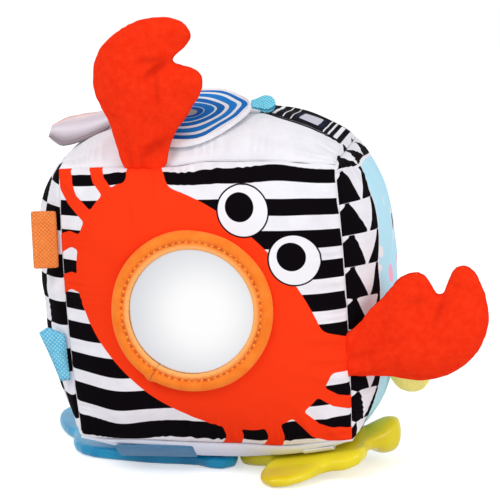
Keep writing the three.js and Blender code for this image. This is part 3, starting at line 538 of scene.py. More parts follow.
def checks_ink(s, t):
    """Black and white squares in columns along the front seam, white behind."""
    depth, height = HALF_EDGE - s, t + CHECK_START
    dark = np.mod(np.floor(depth / CHECK_SIZE) + np.floor(height / CHECK_SIZE), 2) < 1
    part_s, part_t = np.mod(depth, CHECK_SIZE), np.mod(height, CHECK_SIZE)
    inner = overlap(part_s, CHECK_SIZE - part_s, part_t, CHECK_SIZE - part_t)
    return [("squares", BLACK, overlap(np.where(dark, inner, -inner), CHECK_COLUMNS * CHECK_SIZE - depth))]


# White bars across the plate on the top: where each is, and half of its width
BARS = ((33.8, 0.9), (38.6, 0.3), (42.2, 0.4), (57.4, 0.3), (59.6, 0.4), (62.4, 0.8))


def top_ink(s, t):
    """A black plate with white and grey bars across it and double lines along its front, on white."""
    inward = t + 40.5 - 14 * ((s - 47) / 19) ** 2
    plate = overlap(s - 26.5, 65.2 - s, inward, 76 - inward)
    line = overlap(0.5 - np.abs(inward - 3.4), s - 31, 60 - s)
    bars = overlap(union([half - np.abs(s - place) for place, half in BARS]), inward - 6.5, 70 - inward)
    window = overlap(s - 45.5, 54.2 - s, inward - 17, 52 - inward)
    reaches = zip(SPIKE_TIPS, (1.2, 2.2, 1.2, 0))
    tips = union([reach * (1 - np.abs(t - place) / 8.5) for place, reach in reaches])
    return [("plate", BLACK, plate), ("line", GREY, line), ("bars", WHITE, bars),
            ("sill", NAVY, window + 1.8), ("window", LILAC, window), ("tips", BLACK, tips - (HALF_EDGE - s))]


def plain_ink(s, t):
    return [("ground", COOL_WHITE, 1 + 0 * s)]


def back_ink(s, t):
    return bordered_ink(-s, t, 5, [])


RIGHT_SPOTS = [(-44.5, 21.2, 2.9, False, 1.2), (-48, 13.8, 1.7, False, 1.3), (-28.5, 8, 3.4, True, 2.1),
               (-22, 42, 2.3, False, 1), (-30, -12, 3.0, False, 1), (-18, -30, 3.4, True, 0.65)]


def right_ink(s, t):
    return bordered_ink(s, t, 3, RIGHT_SPOTS)


INKS = {"front": front_ink, "back": back_ink, "right": right_ink, "left": checks_ink, "top": top_ink,
        "bottom": plain_ink}


def print_material(name, layers):
    """Printed polyester plain weave: crisp edges of ink, a faint sheen, blacks a little brown."""
    made, tree = start_material(name)
    colour = mottled(tree, ("e9e7ee", WHITE), 9)
    for layer, ink in layers:
        reach = {"Value": layer, "From Min": -PRINT_BLUR, "From Max": PRINT_BLUR}
        inside = add(tree, "ShaderNodeMapRange", reach, interpolation_type="SMOOTHSTEP")
        inks = {0: inside, 6: colour, 7: linear(ink)}
        colour = add(tree, "ShaderNodeMix", inks, data_type="RGBA").outputs[2]
    # The cloth's 0.25 mm threads are too fine to show, so the grain is drawn at 0.7 mm
    weave = rough_bump(tree, 0.7, 0.05)
    # Slack between the stuffing and the cloth, 7 mm from one dip to the next
    slack = rough_bump(tree, 7, 0.4, detail=2.0, before=weave)
    return finish_material(made, colour, slack, Roughness=0.9, Specular_IOR_Level=0.03)


# Folds on the front: the ends of each on the flat cloth, its width and its height
FRONT_FOLDS = [
    ((-31, 66), (-27, 41), 2.4, 0.9), ((-25, 67), (-22, 46), 2.0, 0.7), ((-17, 66), (-17, 45), 2.2, 0.8),
    ((-10, 66), (-14, 52), 2.0, 0.6), ((-38, 66), (-36, 50), 2.2, 0.6), ((67, -17), (50, -15), 2.0, 0.6),
    ((67, -27), (48, -24), 2.2, 0.8), ((67, -35), (52, -34), 2.0, 0.6), ((50, -67), (44, -50), 2.2, 0.8),
    ((38, -67), (36, -54), 2.0, 0.6), ((60, -66), (54, -52), 2.2, 0.6), ((-67, -50), (-52, -46), 2.2, 0.5),
    ((-67, 60), (-55, 52), 2.2, 0.5),
]


def relief(face, cube, place):
    """How far a panel's cloth stands in or out of the even form: seams, puckers, lumps and folds."""
    out, u_axis, v_axis = FACES[face]
    u, v = cube @ u_axis, cube @ v_axis
    total = 0.9 * waves(place, 60, 3) + 0.5 * waves(place, 22, 4)
    depths = []
    for across, along_axis in ((u, v_axis), (v, u_axis)):
        from_seam = HALF_EDGE * (1 - np.abs(across))
        along = HALF_EDGE * (cube @ np.abs(along_axis))
        side = np.sign(across)
        # Puckers about 8 mm apart, of uneven spacing and strength along each seam
        phase = along / 8.2 + 1.1 * np.sin(along / 11.0 + 2 * side) + 0.9 * np.sin(along / 4.7 + side)
        strength = 0.65 + 0.45 * np.sin(along / 14.0 + 3 * side + out @ (1.0, 2.0, 3.0))
        profile = np.exp(-from_seam / 6.5) * (1 - bell(from_seam, 0, 1.4))
        total = total + strength * np.sin(2 * math.pi * phase) * profile
        depths.append(from_seam)
    from_seam = np.minimum(*depths)
    total = total * smooth(from_seam, 0, 5) - 1.15 * bell(from_seam, 0, 1.15)
    if face == "front":
        for start, end, width, height in FRONT_FOLDS:
            first, last = (body_point(s / HALF_EDGE, -1.0, t / HALF_EDGE) for s, t in (start, end))
            total = total + fold(place, first, last, width, 1.5 * height) * smooth(from_seam, 0, 4)
    if face == "bottom":
        total = np.minimum(total, 0) * 0.5
    return total, from_seam


def panel(face, cells):
    """One printed panel of the stuffed block, with its seams, puckers and folds."""
    bm, even = grid(cells, cells)
    even = np.clip(np.round(even, 6), -1, 1)
    u, v = (even * (1 - EDGE_CROWDING) + np.sin(even * math.pi / 2) * EDGE_CROWDING).T
    cube = on_cube(face, u, v)
    outwards = puffed(cube)
    place = outwards + BODY_MIDDLE
    place[:, 2] += seam_sag(place)
    set_points(bm, place)
    lift, from_seam = relief(face, cube, place)
    outwards /= np.linalg.norm(outwards, axis=1)[:, None]
    at_seam = (1 - smooth(from_seam, 0, 7))[:, None]
    direction = get_normals(bm) * (1 - at_seam) + outwards * at_seam
    direction /= np.linalg.norm(direction, axis=1)[:, None]
    set_points(bm, place + direction * lift[:, None])
    ink = INKS[face](u * HALF_EDGE, v * HALF_EDGE)
    printed = print_material(f"printed_polyester_{face}", [(name, colour) for name, colour, _ in ink])
    made = piece(f"{face}_cloth", bm, "block", [f"{face}_panel"], "print_cloth", printed,
                 **{name: values for name, _, values in ink})
    thicken(made, 0.8)


PANEL_CELLS = {"front": 220, "right": 150, "left": 130, "top": 150, "back": 120, "bottom": 100}
for face, cells in PANEL_CELLS.items():
    panel(face, cells)

# Filling

# Loose white fibre: no gloss, soft clumps
fibre = plain_material("carded_polyester_fibre", ("e6e4dd", "faf9f5"), 3, 2, 0.6, Roughness=1.0,
                       Sheen_Weight=0.3)

for name in ("filling_lower", "filling_upper"):
    bm = cad_copy([name])
    points = get_points(bm) - BODY_MIDDLE
    # The outside, past the rattle's pocket, stands back from the panels' folds
    outside = np.linalg.norm(points, axis=1)[:, None] > 30
    set_points(bm, points * np.where(outside, 0.955, 1) + BODY_MIDDLE)
    bmesh.ops.subdivide_edges(bm, edges=bm.edges, cuts=1, use_grid_fill=True)
    wad = piece(name.replace("filling", "fibre_wad"), bm, "block", [name], "fibre", fibre)

# Mirror

MIRROR_X, MIRROR_Z = -3.5, -1.0
STITCH_RADIUS = 33.6
TAPE_END = math.radians(122.5)  # where the ring's tape ends, clockwise from the right
MIRROR_PROFILE = [(0, 2.45), (10, 2.43), (20, 2.36), (27, 2.25), (30.5, 2.1), (32.2, 2.0)]
RING_PROFILE = [
    (32.4, 0.5), (38.4, 0.3), (39.2, 1.1), (39.3, 2.1), (38.7, 3.3), (37.4, 4.1), (35.9, 4.3), (34.8, 4.0),
    (34.1, 3.3), (33.6, 3.0), (33.0, 3.5), (32.0, 4.0), (31.0, 3.9), (30.3, 3.4), (30.0, 2.9), (30.2, 2.5),
    (32.4, 2.5),
]


def lay_on_front(bm):
    """Lays a flat round form, with its axis along Z, on the front with its axis outwards."""
    x, y, z = get_points(bm).T
    set_points(bm, face_point("front", MIRROR_X + x, MIRROR_Z + y, z))


def mirror_material():
    """Aluminised polyester film, a soft safety mirror: bright, barely wavy, a little hazy, with a painted
    reflection that is paler in the middle and greyer towards the rim.
    """
    made, tree = start_material("aluminised_polyester_mirror")
    ends = {0: "paler", 6: linear("dcdde2"), 7: linear("ffffff")}
    shade = add(tree, "ShaderNodeMix", ends, data_type="RGBA")
    bump = rough_bump(tree, 30, 0.12, detail=0.0)
    return finish_material(made, shade.outputs[2], bump, Metallic=1.0, Roughness=0.3)


bm = spun(MIRROR_PROFILE, 120, cuts=3)
x, y, _ = get_points(bm).T
# Painted reflection: the film's colour is palest round a point right of its middle and greyer towards its rim
paler = 1 - smooth(np.hypot(x - 5, y + 1), 8, 38)
lay_on_front(bm)
mirror = piece("mirror_film", bm, "block", ["mirror_disc"], "mirror_film", mirror_material(), paler=paler)
thicken(mirror, 0.5)


def ring_material():
    """Cotton twill bias tape: fine slanting ribs across the tape, matt, with a painted highlight along its
    inner lip.
    """
    made, tree = start_material("orange_twill_tape")
    flat = add(tree, "ShaderNodeCombineXYZ", {0: "around", 1: "across"})
    turned = add(tree, "ShaderNodeMapping", {"Vector": flat, "Rotation": (0, 0, math.radians(38))})
    # Twill ribs 0.4 mm apart are too fine to show, so they are drawn 1 mm apart
    wave = {"Vector": turned, "Scale": math.pi / 10, "Distortion": 1.0, "Detail": 1.0}
    ribs = add(tree, "ShaderNodeTexWave", wave)
    base = mottled(tree, ("f87818", "ff8b2a"), 7)
    # Painted highlight: the tape's colour lightens towards its inner lip
    painted_lip_highlight = add(tree, "ShaderNodeMapRange", {"Value": "across", "From Min": 33.2, "From Max": 31.4})
    lit = {0: painted_lip_highlight, 6: base, 7: linear("ffb266")}
    base = add(tree, "ShaderNodeMix", lit, data_type="RGBA").outputs[2]
    shade = add(tree, "ShaderNodeMix", {0: 0.16, 6: base, 7: ribs.outputs["Color"]}, data_type="RGBA",
                blend_type="SOFT_LIGHT")
    rib_height = {"Height": ribs.outputs["Fac"], "Strength": 0.8, "Distance": 0.14 * MM}
    rib_bump = add(tree, "ShaderNodeBump", rib_height)
    return finish_material(made, shade.outputs[2], rough_bump(tree, 1.1, 0.08, before=rib_bump), Roughness=0.85,
                           Specular_IOR_Level=0.25, Sheen_Weight=0.06)


bm = spun(RING_PROFILE, 220, closed=True)
points = get_points(bm)
radius, turn = np.hypot(points[:, 0], points[:, 1]), np.arctan2(points[:, 1], points[:, 0])
around = np.mod(turn + TAPE_END, 2 * math.pi) * 36
gather = np.sin(around / 0.62 + 1.2 * np.sin(around / 7)) * (0.6 + 0.4 * np.sin(around / 13))
near_stitch = bell(radius, STITCH_RADIUS, 1.5)
rise = 0.3 * near_stitch * gather + 0.3 * waves(points[:, :2], 22, 8)
top = points[:, 2] > 2.4
points[:, 2] += np.where(top, rise, 0)
# The tape's end is folded under and lies over its start at the lower left, with one corner standing out
past_end = turn + TAPE_END
over = smooth(past_end, -0.008, 0.012) * (1 - smooth(past_end, 0.15, 0.9))
corner = bell(past_end, 0, 0.05) * smooth(radius, 36, 39)
points[:, 2] += np.where(top, 0.75 * over * smooth(radius, 33.5, 35), 0)
outer_wave = 0.3 * waves(points[:, :2], 30, 9) * smooth(radius, 36, 39)
outwards = np.where(radius < 32, 0.07 * gather, outer_wave) + 1.3 * corner
points[:, :2] *= (1 + outwards / radius)[:, None]
set_points(bm, points)
lay_on_front(bm)
ring = piece("mirror_ring_tape", bm, "block", ["mirror_ring"], "ring_cloth", ring_material(), around=around,
             across=radius)
subdivide(ring)


# Spun polyester thread: slight gloss and a fine twist
# The second thread is the same orange painted darker: painted shade for the gaps between stitches
THREAD_HEXES = {"orange_sewing_thread": ("ff9a2a", "ffb94f"), "shaded_orange_thread": ("b04a18", "d2661f")}
orange_thread, shaded_thread = (
    plain_material(name, hexes, 1.2, 0.5, 0.06, Roughness=0.5, Sheen_Weight=0.2)
    for name, hexes in THREAD_HEXES.items()
)

STITCHES, STITCH_LENGTH, STITCH_THICK, STITCH_LIFT = 132, 1.6, 0.72, 3.35
steps = np.linspace(0, 2 * math.pi, STITCHES, endpoint=False)
wobble = 33.7 + 0.25 * np.sin(steps * 23)
slant = np.where(np.arange(STITCHES) % 2, 1.0, -1.0) * 0.264
centre, ahead = (
    face_point("front", MIRROR_X + away * np.cos(turn), MIRROR_Z + away * np.sin(turn), STITCH_LIFT)
    for away, turn in ((wobble, steps), (wobble + slant, steps + 0.01))
)
bm = bmesh.new()
for i, (middle, along) in enumerate(zip(centre, ahead - centre)):
    x = Vector(along).normalized()
    y = Vector((0, -1, 0)).cross(x).normalized()
    axes = Matrix((x * STITCH_LENGTH, y * STITCH_THICK, x.cross(y) * STITCH_THICK)).transposed().to_4x4()
    basis = axes @ Matrix.Scale(MM / 2, 4)
    basis.translation = Vector(middle) * MM
    made = bmesh.ops.create_uvsphere(bm, u_segments=6, v_segments=5, radius=1, matrix=basis)
    for face in {face for vertex in made["verts"] for face in vertex.link_faces}:
        # Every other stitch takes the darker thread, as painted shade
        face.material_index = i % 2
stitches = piece("mirror_ring_stitches", bm, "block", material=orange_thread)
stitches.data.materials.append(shaded_thread)

# Plush claws and pod

def plush_material(name, hexes, patch):
    """Short-pile knitted velour: matt and deep, mottled where the pile leans, lighter at the rim."""
    made, tree = start_material(name)
    ground = mottled(tree, hexes, patch, detail=4.0, spread=0.3)
    # Painted shade: in creases and along the seam groove the colour darkens towards the third hex
    ends = {0: "crease", 6: ground, 7: linear(hexes[2])}
    colour = add(tree, "ShaderNodeMix", ends, data_type="RGBA").outputs[2]
    # The 0.1 mm pile is too fine to show, so it is drawn as tufts of 0.7 mm
    pile = rough_bump(tree, 0.7, 0.3, detail=2.0)
    leaning = rough_bump(tree, 9, 0.5, detail=2.0, before=pile)
    return finish_material(made, colour, leaning, Roughness=0.95, Sheen_Weight=0.12, Sheen_Roughness=0.5,
                           Sheen_Tint=linear(hexes[1]), Specular_IOR_Level=0.08)


red_plush = plush_material("red_velour", ("f02a0a", "fb3a15", "a81404"), 3.2)
lime_plush = plush_material("lime_velour", ("f3ea76", "fef6a2", "bcb040"), 2.0)


SWELL = 2.2  # how far the filling may push the covers out
SEAM_DEPTH = 1.3
SEAM_WIDTH = 1.1
COVER_LIFT = 1.15  # makes up for what the smoothing takes off


def swell(made, middle):
    """A short cloth simulation: the cover fills out from its held seam and creases where it has slack."""
    before = np.array([vertex.co[:] for vertex in made.data.vertices])
    seam = np.flatnonzero(np.abs(before[:, 1] / MM - middle) < SEAM_WIDTH)
    made.vertex_groups.new(name="held").add(seam.tolist(), 1.0, "REPLACE")
    cover = made.modifiers.new("filling_out", "CLOTH").settings
    cover.quality, cover.mass, cover.bending_stiffness = 6, 0.001, 0.003
    cover.tension_stiffness = cover.compression_stiffness = cover.shear_stiffness = 5
    cover.use_pressure, cover.uniform_pressure_force = True, 4
    cover.effector_weights.gravity = 0
    cover.shrink_min, cover.vertex_group_mass = -0.05, "held"
    for step in range(1, 21):
        bpy.context.scene.frame_set(step)
    settle(made)
    bpy.context.scene.frame_set(1)
    made.vertex_groups.clear()
    moved = np.array([vertex.co[:] for vertex in made.data.vertices]) - before
    far, most = np.maximum(np.linalg.norm(moved, axis=1), 1e-9)[:, None], SWELL * MM
    made.data.vertices.foreach_set("co", (before + moved * most * np.tanh(far / most) / far).ravel())


def stuffed(name, node_names, body, slot, plush, voxel, seam, thin, draw_root, folds=()):
    """A stuffed plush form from its CAD solids, filled out in simulation, with its seam drawn in."""
    middle = seam[1]
    bm = cad_copy(node_names)
    points = get_points(bm)
    points[:, 1] = middle + (points[:, 1] - middle) * thin
    set_points(bm, points)
    made = piece(name, bm, body, node_names, slot)
    one_skin(made, voxel)
    bm = open_mesh(made)
    relax(bm, 9)
    points, normals = get_points(bm), get_normals(bm)
    set_points(bm, points + normals * COVER_LIFT)
    close_mesh(bm, made)
    swell(made, middle)
    subdivide(made)
    settle(made)
    bm = open_mesh(made)
    relax(bm, 5)
    points, normals = get_points(bm), get_normals(bm)
    rim = 1 - smooth(np.abs(normals[:, 1]), 0.55, 0.95)
    groove = rim * bell(points[:, 1], middle, SEAM_WIDTH)
    lift = 0.45 * waves(points, 17, 21) + 0.15 * waves(points, 7, 22) - SEAM_DEPTH * groove
    # Painted shade along the seam groove, and below in the folds that sink in
    crease = 0.5 * groove
    for start, end, width, height in folds:
        one = fold(points[:, ::2], seam[::2] + start, seam[::2] + end, width, height)
        lift += one
        crease += np.clip(-one, 0, 1) * 0.42
    set_points(bm, draw_root(points + normals * lift[:, None]))
    relax(bm, 3)
    close_mesh(bm, made)
    shade_smooth(made)
    keep_values(made, crease=np.clip(crease, 0, 0.6))
    made.data.materials.append(plush)
    subdivide(made)
    return made


CLAW_TOP_X, CLAW_SIDE_Z = -23.5, -25.0  # the middle of each claw's seam, along the block's seam
TOP_SEAM = body_point(CLAW_TOP_X / HALF_EDGE, -1.0, 1.0)
SIDE_SEAM = body_point(1.0, -1.0, CLAW_SIDE_Z / HALF_EDGE)
CLAW_PARTS = ("front_cover", "back_cover", "filling")


def top_claw_root(points):
    """Draws the claw's foot down over the seam that holds it, flat and a little wider."""
    x, y, z = TOP_SEAM
    low = 1 - smooth(points[:, 2], z, z + 17)  # 1 at the seam, 0 where the foot ends
    points[:, 2] = np.maximum(points[:, 2] - 11 * low, z - 4.1)
    points[:, 1] = points[:, 1] * (1 - 0.6 * low) + (y - 2.9) * 0.6 * low
    points[:, 0] += 0.12 * low * (points[:, 0] - x)
    # The wrist is fuller on its right, and the fingers' tips stand a little lower
    points[:, 0] += 1.4 * bell(points[:, 2], z + 15, 10) * smooth(points[:, 0], x + 2, x + 10)
    points[:, 2] -= 2.4 * smooth(points[:, 2], z + 38, z + 58)
    return points


def side_claw_root(points):
    """Draws the claw's foot along to the seam that holds it, gathered flat."""
    x, y, z = SIDE_SEAM
    low = 1 - smooth(points[:, 0], x, x + 18)  # 1 at the seam, 0 where the foot ends
    points[:, 0] = np.maximum(points[:, 0] - 7 * low, x - 3.4)
    points[:, 1] = points[:, 1] * (1 - 0.5 * low) + (y - 2.8) * 0.5 * low
    points[:, 2] += 0.16 * low * (points[:, 2] - z) - 3.3 * low
    # The upper finger stands further out and up, and the claw's end a little higher
    beyond, above = points[:, 0] - x, points[:, 2] - z
    near_finger = bell(beyond, 30, 9) * smooth(above, 10, 28)
    points[:, 0] += 3.2 * near_finger + 1.0 * smooth(above, 15, 30) * bell(beyond, 43, 7)
    points[:, 2] += 1.2 * near_finger + 1.6 * smooth(beyond, 34, 60)
    return points


def pod_root(points):
    """Lets the pod's near side lie round the block's bulge."""
    low = 1 - smooth(points[:, 0], 90, 103)
    return points - np.outer(low, (4.6, 6, 0))


# Folds of the plush: the ends of each across and up from its seam, its width and its height
TOP_FOLDS = [((12, 49), (-2, 49), 2.0, -0.8), ((12, 48), (2, 40), 1.6, -1.5), ((7, 41), (8, 25), 1.2, -0.7),
             ((-1, 8), (11, 12), 1.4, -1.2), ((-6, 1), (-7, 10), 1.2, -0.6), ((-1, 1), (-2, 9), 1.2, -0.6)]
SIDE_FOLDS = [((3, -7), (15, -8), 1.4, -0.7), ((3, 1), (14, 3), 1.5, -0.6), ((24, 26), (34, 26), 1.4, -0.6),
              ((16, -3), (32, 6), 2.0, 0.5), ((43, 27), (39, 16), 1.6, -0.7)]

claw = stuffed("top_claw_plush", [f"claw_top_{part}" for part in CLAW_PARTS], None, "plush_red", red_plush,
               1.7, TOP_SEAM, 0.86, top_claw_root, TOP_FOLDS)
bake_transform(claw)
claw = stuffed("side_claw_plush", [f"claw_side_{part}" for part in CLAW_PARTS], None, "plush_red", red_plush,
               1.7, SIDE_SEAM, 0.86, side_claw_root, SIDE_FOLDS)
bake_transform(claw)
pod_seam = np.array(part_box("pod_front_cover")[1]) / MM
stuffed("pod_plush", ["pod_front_cover", "pod_back_cover", "pod_filling"], "pod", "velour", lime_plush, 1.1,
        pod_seam, 0.95, pod_root)

bm = cad_copy(["pod_tab"])
bmesh.ops.subdivide_edges(bm, edges=bm.edges, cuts=3, use_grid_fill=True)
relax(bm, 3, 0.3)
tab = piece("pod_tab_cloth", bm, "pod", ["pod_tab"], "velour", lime_plush, crease=np.zeros(len(bm.verts)))

# Ring flap on the top

FLAP_X, FLAP_Y, FLAP_TILT = -10.5, -35.5, math.radians(12)
FLAP_LEAVE = -43.0  # behind this line the flap stands off the top
RINGS_MIDDLE, RINGS_RADIUS = np.array((1.5, -10.5)), 31.0  # from the flap's own middle


def lay_flap(bm):
    """Lays a flat round form on the top's front slope, where it stands off behind along a straight line."""
    points = get_points(bm)
    x, y, lift = FLAP_X - 0.9 + 0.97 * points[:, 0], FLAP_Y + points[:, 1], points[:, 2]
    on_body = np.minimum(y, FLAP_LEAVE)
    placed = face_point("top", x, on_body, lift)
    placed[:, 1] = y
    placed[:, 2] += (y - on_body) * math.tan(FLAP_TILT)
    edge = smooth(np.hypot(points[:, 0], points[:, 1]), 16, 32)
    placed[:, 2] += edge * (0.4 + 0.6 * waves(points[:, :2], 26, 31)) * smooth(points[:, 1], -30, 0)
    set_points(bm, placed)


def rings_material():
    """Printed polyester with uneven rings in two blues, white and grey, out from a grey middle."""
    made, tree = start_material("printed_polyester_rings")
    ramp = add(tree, "ShaderNodeValToRGB", {"Fac": "ring_share"})
    ramp.color_ramp.interpolation = "CONSTANT"
    bands = [(0, "a9a7a6"), (0.14, "1f57a6"), (0.235, "8fb7dc"), (0.265, "1f70c2"), (0.405, "d4e6f4"),
             (0.445, "1d69ba"), (0.58, "eeeff5"), (0.655, "237ed2"), (0.785, "eeeff5"), (0.845, "1f70c0"),
             (0.93, "f1f0f6")]
    set_stops(ramp, bands)
    # Painted shade: the colour darkens towards navy at the front left, and a little in the middle
    ends = {0: "deep", 6: ramp, 7: linear("5f78a8")}
    deeper = add(tree, "ShaderNodeMix", ends, data_type="RGBA", blend_type="MULTIPLY")
    weave = rough_bump(tree, 0.7, 0.06)
    bump = rough_bump(tree, 8, 0.3, detail=2.0, before=weave)
    return finish_material(made, deeper.outputs[2], bump, Roughness=0.9, Specular_IOR_Level=0.05)


bm = spun([(0, 4.5), (12, 4.5), (22, 4.4), (27, 4.25), (29.8, 3.95), (30.6, 3.5)], 144, cuts=7)
points = get_points(bm)
from_middle = points[:, :2] - RINGS_MIDDLE
away = np.maximum(np.linalg.norm(from_middle, axis=1), 1e-6)
toward = (from_middle @ RINGS_MIDDLE) / away
to_edge = np.sqrt(toward**2 + RINGS_RADIUS**2 - RINGS_MIDDLE @ RINGS_MIDDLE) - toward
share = away / to_edge + 0.022 * waves(points[:, :2], 20, 33) * smooth(away, 4, 12)
# Painted shade, strongest towards the front left; the middle is a little darker too
deep = 0.85 * smooth(-(from_middle @ (0.75, 0.66)), 3, 19) + 0.3 * (1 - smooth(away, 6, 12))
lay_flap(bm)
flap = piece("ring_flap_print", bm, "ring_flap", ["ring_flap_cover"], "flap_cloth", rings_material(),
             ring_share=np.clip(share, 0, 1), deep=np.clip(deep, 0, 1) * (share < 0.93))
thicken(flap, 0.6)

# Woven cotton: matt, with its threads' grain and soft patches
white_cotton = plain_material("white_cotton_tape", ("e4e3ea", "f4f3f7"), 6, 0.8, 0.08, Roughness=0.8,
                              Sheen_Weight=0.2)
binding_roll = [(30.0, 4.0), (30.5, 4.5), (31.1, 4.4), (31.7, 3.9), (32.0, 3.1), (31.8, 2.3), (31.0, 1.8),
                (30.0, 1.75)]
bm = spun(binding_roll, 128, closed=True)
points = get_points(bm)
turn = np.arctan2(points[:, 1], points[:, 0])
points[:, 2] += 0.12 * np.sin(turn * 70) * (points[:, 2] > 3)
set_points(bm, points)
lay_flap(bm)
binding = piece("ring_flap_binding", bm, "ring_flap", (), "flap_cloth", white_cotton)
subdivide(binding)

bm = spun([(x, 1.75) for x in (0, 8, 16, 23, 30.3)], 96, cuts=2)
lay_flap(bm)
backing = piece("ring_flap_back_cloth", bm, "ring_flap", ["ring_flap_backing"], "print_cloth", white_cotton)
thicken(backing, 0.5, offset=0)

# Satin flap on the left

SATIN_LENGTH, SATIN_HALF = 33.0, 13.4
SATIN_ROOT = (-50.0, -33.0)
SATIN_LIFT, SATIN_PUFF = 2.6, 1.6


def satin_point(length_share, width_share, lift):
    """A point of the satin flap, which leaves the block's left shoulder and turns its face to the front."""
    root = face_point("top", *(np.full(len(lift), place) for place in SATIN_ROOT), lift)
    rounded = np.sqrt(1 - (0.85 * length_share**2) ** 2)
    half_width = SATIN_HALF * rounded * (1 - 0.42 * smooth(length_share, 0.72, 1))
    root[:, 0] -= SATIN_LENGTH * length_share
    root[:, 1] += half_width * width_share
    slope = 0.3 + 0.3 * length_share
    root[:, 2] += half_width * width_share * slope - 7 * (1 - (1 - length_share) ** 2)
    return root


def satin_material():
    """Polyester satin: long soft highlights along the floats, partly a painted highlight band, lilac-grey with
    a pink bound rim and painted shade towards the lower edge.
    """
    made, tree = start_material("lilac_satin")
    ramp = add(tree, "ShaderNodeValToRGB", {"Fac": "width_share"})
    # Painted shade darkens the lower edge, and a painted highlight band runs below the middle; the pink bands
    # and thin brown line at the top are the bound rim
    lit_and_shaded_stops = [(0, "93838b"), (0.05, "87777f"), (0.2, "b3a6b1"), (0.4, "ebe4ef"), (0.56, "d6cad7"),
              (0.8, "ead4d8"), (0.92, "f8d0cb"), (0.97, "c39a96"), (1, "f3c9c4")]
    set_stops(ramp, lit_and_shaded_stops)
    return finish_material(made, ramp, rough_bump(tree, 7, 0.5, detail=1.0), Roughness=0.42,
                           Sheen_Weight=0.15, Anisotropic=0.4)


def satin_swell(length_share, width_share):
    """How full the satin flap is at a place, and how its long soft folds rise there."""
    puff = np.maximum((1 - (1 - 2 * length_share) ** 6) * (1 - width_share**6), 0)
    folds = 1.1 * np.sin(4.2 * width_share + 1.5 * length_share) * smooth(length_share, 0, 0.4)
    return puff, folds * puff


bm = bmesh.new()
layers = []
for sign in (1, -1):
    made = bmesh.ops.create_grid(bm, x_segments=60, y_segments=44, size=1)
    if sign < 0:
        bmesh.ops.reverse_faces(bm, faces=list({f for v in made["verts"] for f in v.link_faces}))
    layers.append(np.full(len(made["verts"]), sign))
flat = np.array([vertex.co[:2] for vertex in bm.verts]).astype(float)
length_share, width_share = np.clip((1 - flat[:, 0]) / 2, 0, 1), flat[:, 1]
puff, folds = satin_swell(length_share, width_share)
lift = SATIN_LIFT + np.concatenate(layers) * SATIN_PUFF * puff**0.5 + folds
lift += 0.25 * waves(flat * (16, 14), 9, 41)
rest = satin_point(length_share, width_share, lift)
set_points(bm, rest)
bmesh.ops.remove_doubles(bm, verts=bm.verts, dist=0.02 * MM)
nearest = [int(np.argmin(((rest - point) ** 2).sum(1))) for point in get_points(bm)]
satin = piece("satin_flap_pad", bm, "satin_flap", ["satin_flap_cover", "satin_flap_backing"], "satin",
              satin_material(), width_share=(1 + width_share[nearest]) / 2)

# Ribbons and straps

RIBBON_CELLS = 12
LOOP_STEPS = 14


def ribbon_material(name, base, dark, dot, spacing):
    """Woven polyester ribbon: rows of lighter raised dots, shiny along the threads."""
    made, tree = start_material(name)
    flat = add(tree, "ShaderNodeCombineXYZ", {0: "along", 1: "across"})
    slant = {"Vector": flat, "Rotation": (0, 0, math.radians(45)), "Scale": (1 / spacing,) * 3}
    turned = add(tree, "ShaderNodeMapping", slant)
    # Weave knots about 1 mm apart are drawn a little coarser, at the given spacing
    knots = add(tree, "ShaderNodeTexVoronoi", {"Vector": turned, "Scale": 1.0, "Randomness": 0.12})
    reach = {"Value": knots, "From Min": 0.44, "From Max": 0.16}
    spot = add(tree, "ShaderNodeMapRange", reach)
    ends = {0: spot, 6: mottled(tree, (dark, base), 4), 7: linear(dot)}
    colour = add(tree, "ShaderNodeMix", ends, data_type="RGBA")
    bump = add(tree, "ShaderNodeBump", {"Height": spot, "Strength": 0.8, "Distance": 0.15 * MM})
    return finish_material(made, colour.outputs[2], bump, Roughness=0.6, Specular_IOR_Level=0.3,
                           Sheen_Weight=0.1)


def ribbon(name, path, across_axis, width, thick, body, nodes, slot, material,
           round_end=None):
    """A ribbon extruded along a path, with its width centred on it, and round at its end if wanted."""
    path = np.array(path, float)
    axis = unit(np.array(across_axis, float))
    shares = np.linspace(-0.5, 0.5, RIBBON_CELLS + 1)
    bm = bmesh.new()
    row = [bm.verts.new((path[0] + axis * width * share) * MM) for share in shares]
    edges = [bm.edges.new(pair) for pair in zip(row[:-1], row[1:])]
    for step in np.diff(path, axis=0):
        made = bmesh.ops.extrude_edge_only(bm, edges=edges)["geom"]
        verts = [item for item in made if isinstance(item, bmesh.types.BMVert)]
        bmesh.ops.translate(bm, verts=verts, vec=Vector(step * MM))
        edges = [item for item in made if isinstance(item, bmesh.types.BMEdge)]
    lengths = np.concatenate([[0], np.cumsum(np.linalg.norm(np.diff(path, axis=0), axis=1))])
    along = np.repeat(lengths, len(shares))
    points = get_points(bm)
    across = (points - np.repeat(path, len(shares), axis=0)) @ axis
    flat = (width * MM, float(lengths[-1]) * MM)
    area = flat[0] * flat[1]
    if round_end:
        start, out_axis, reach, radius = round_end
        outwards = (points - start) @ out_axis
        past = np.clip((outwards - (reach - radius)) / radius, 0, 0.97)
        narrow = np.sqrt(1 - past**2) * (0.5 + 0.5 * smooth(outwards, 1, reach * 0.6))
        points -= np.outer(across * (1 - narrow), axis)
        across = across * narrow
        set_points(bm, points)
        area = sum(face.calc_area() for face in bm.faces)
    made = piece(name, bm, body, nodes, slot, material, along=along, across=across)
    thicken(made, thick, offset=0)
    subdivide(made)
    return made


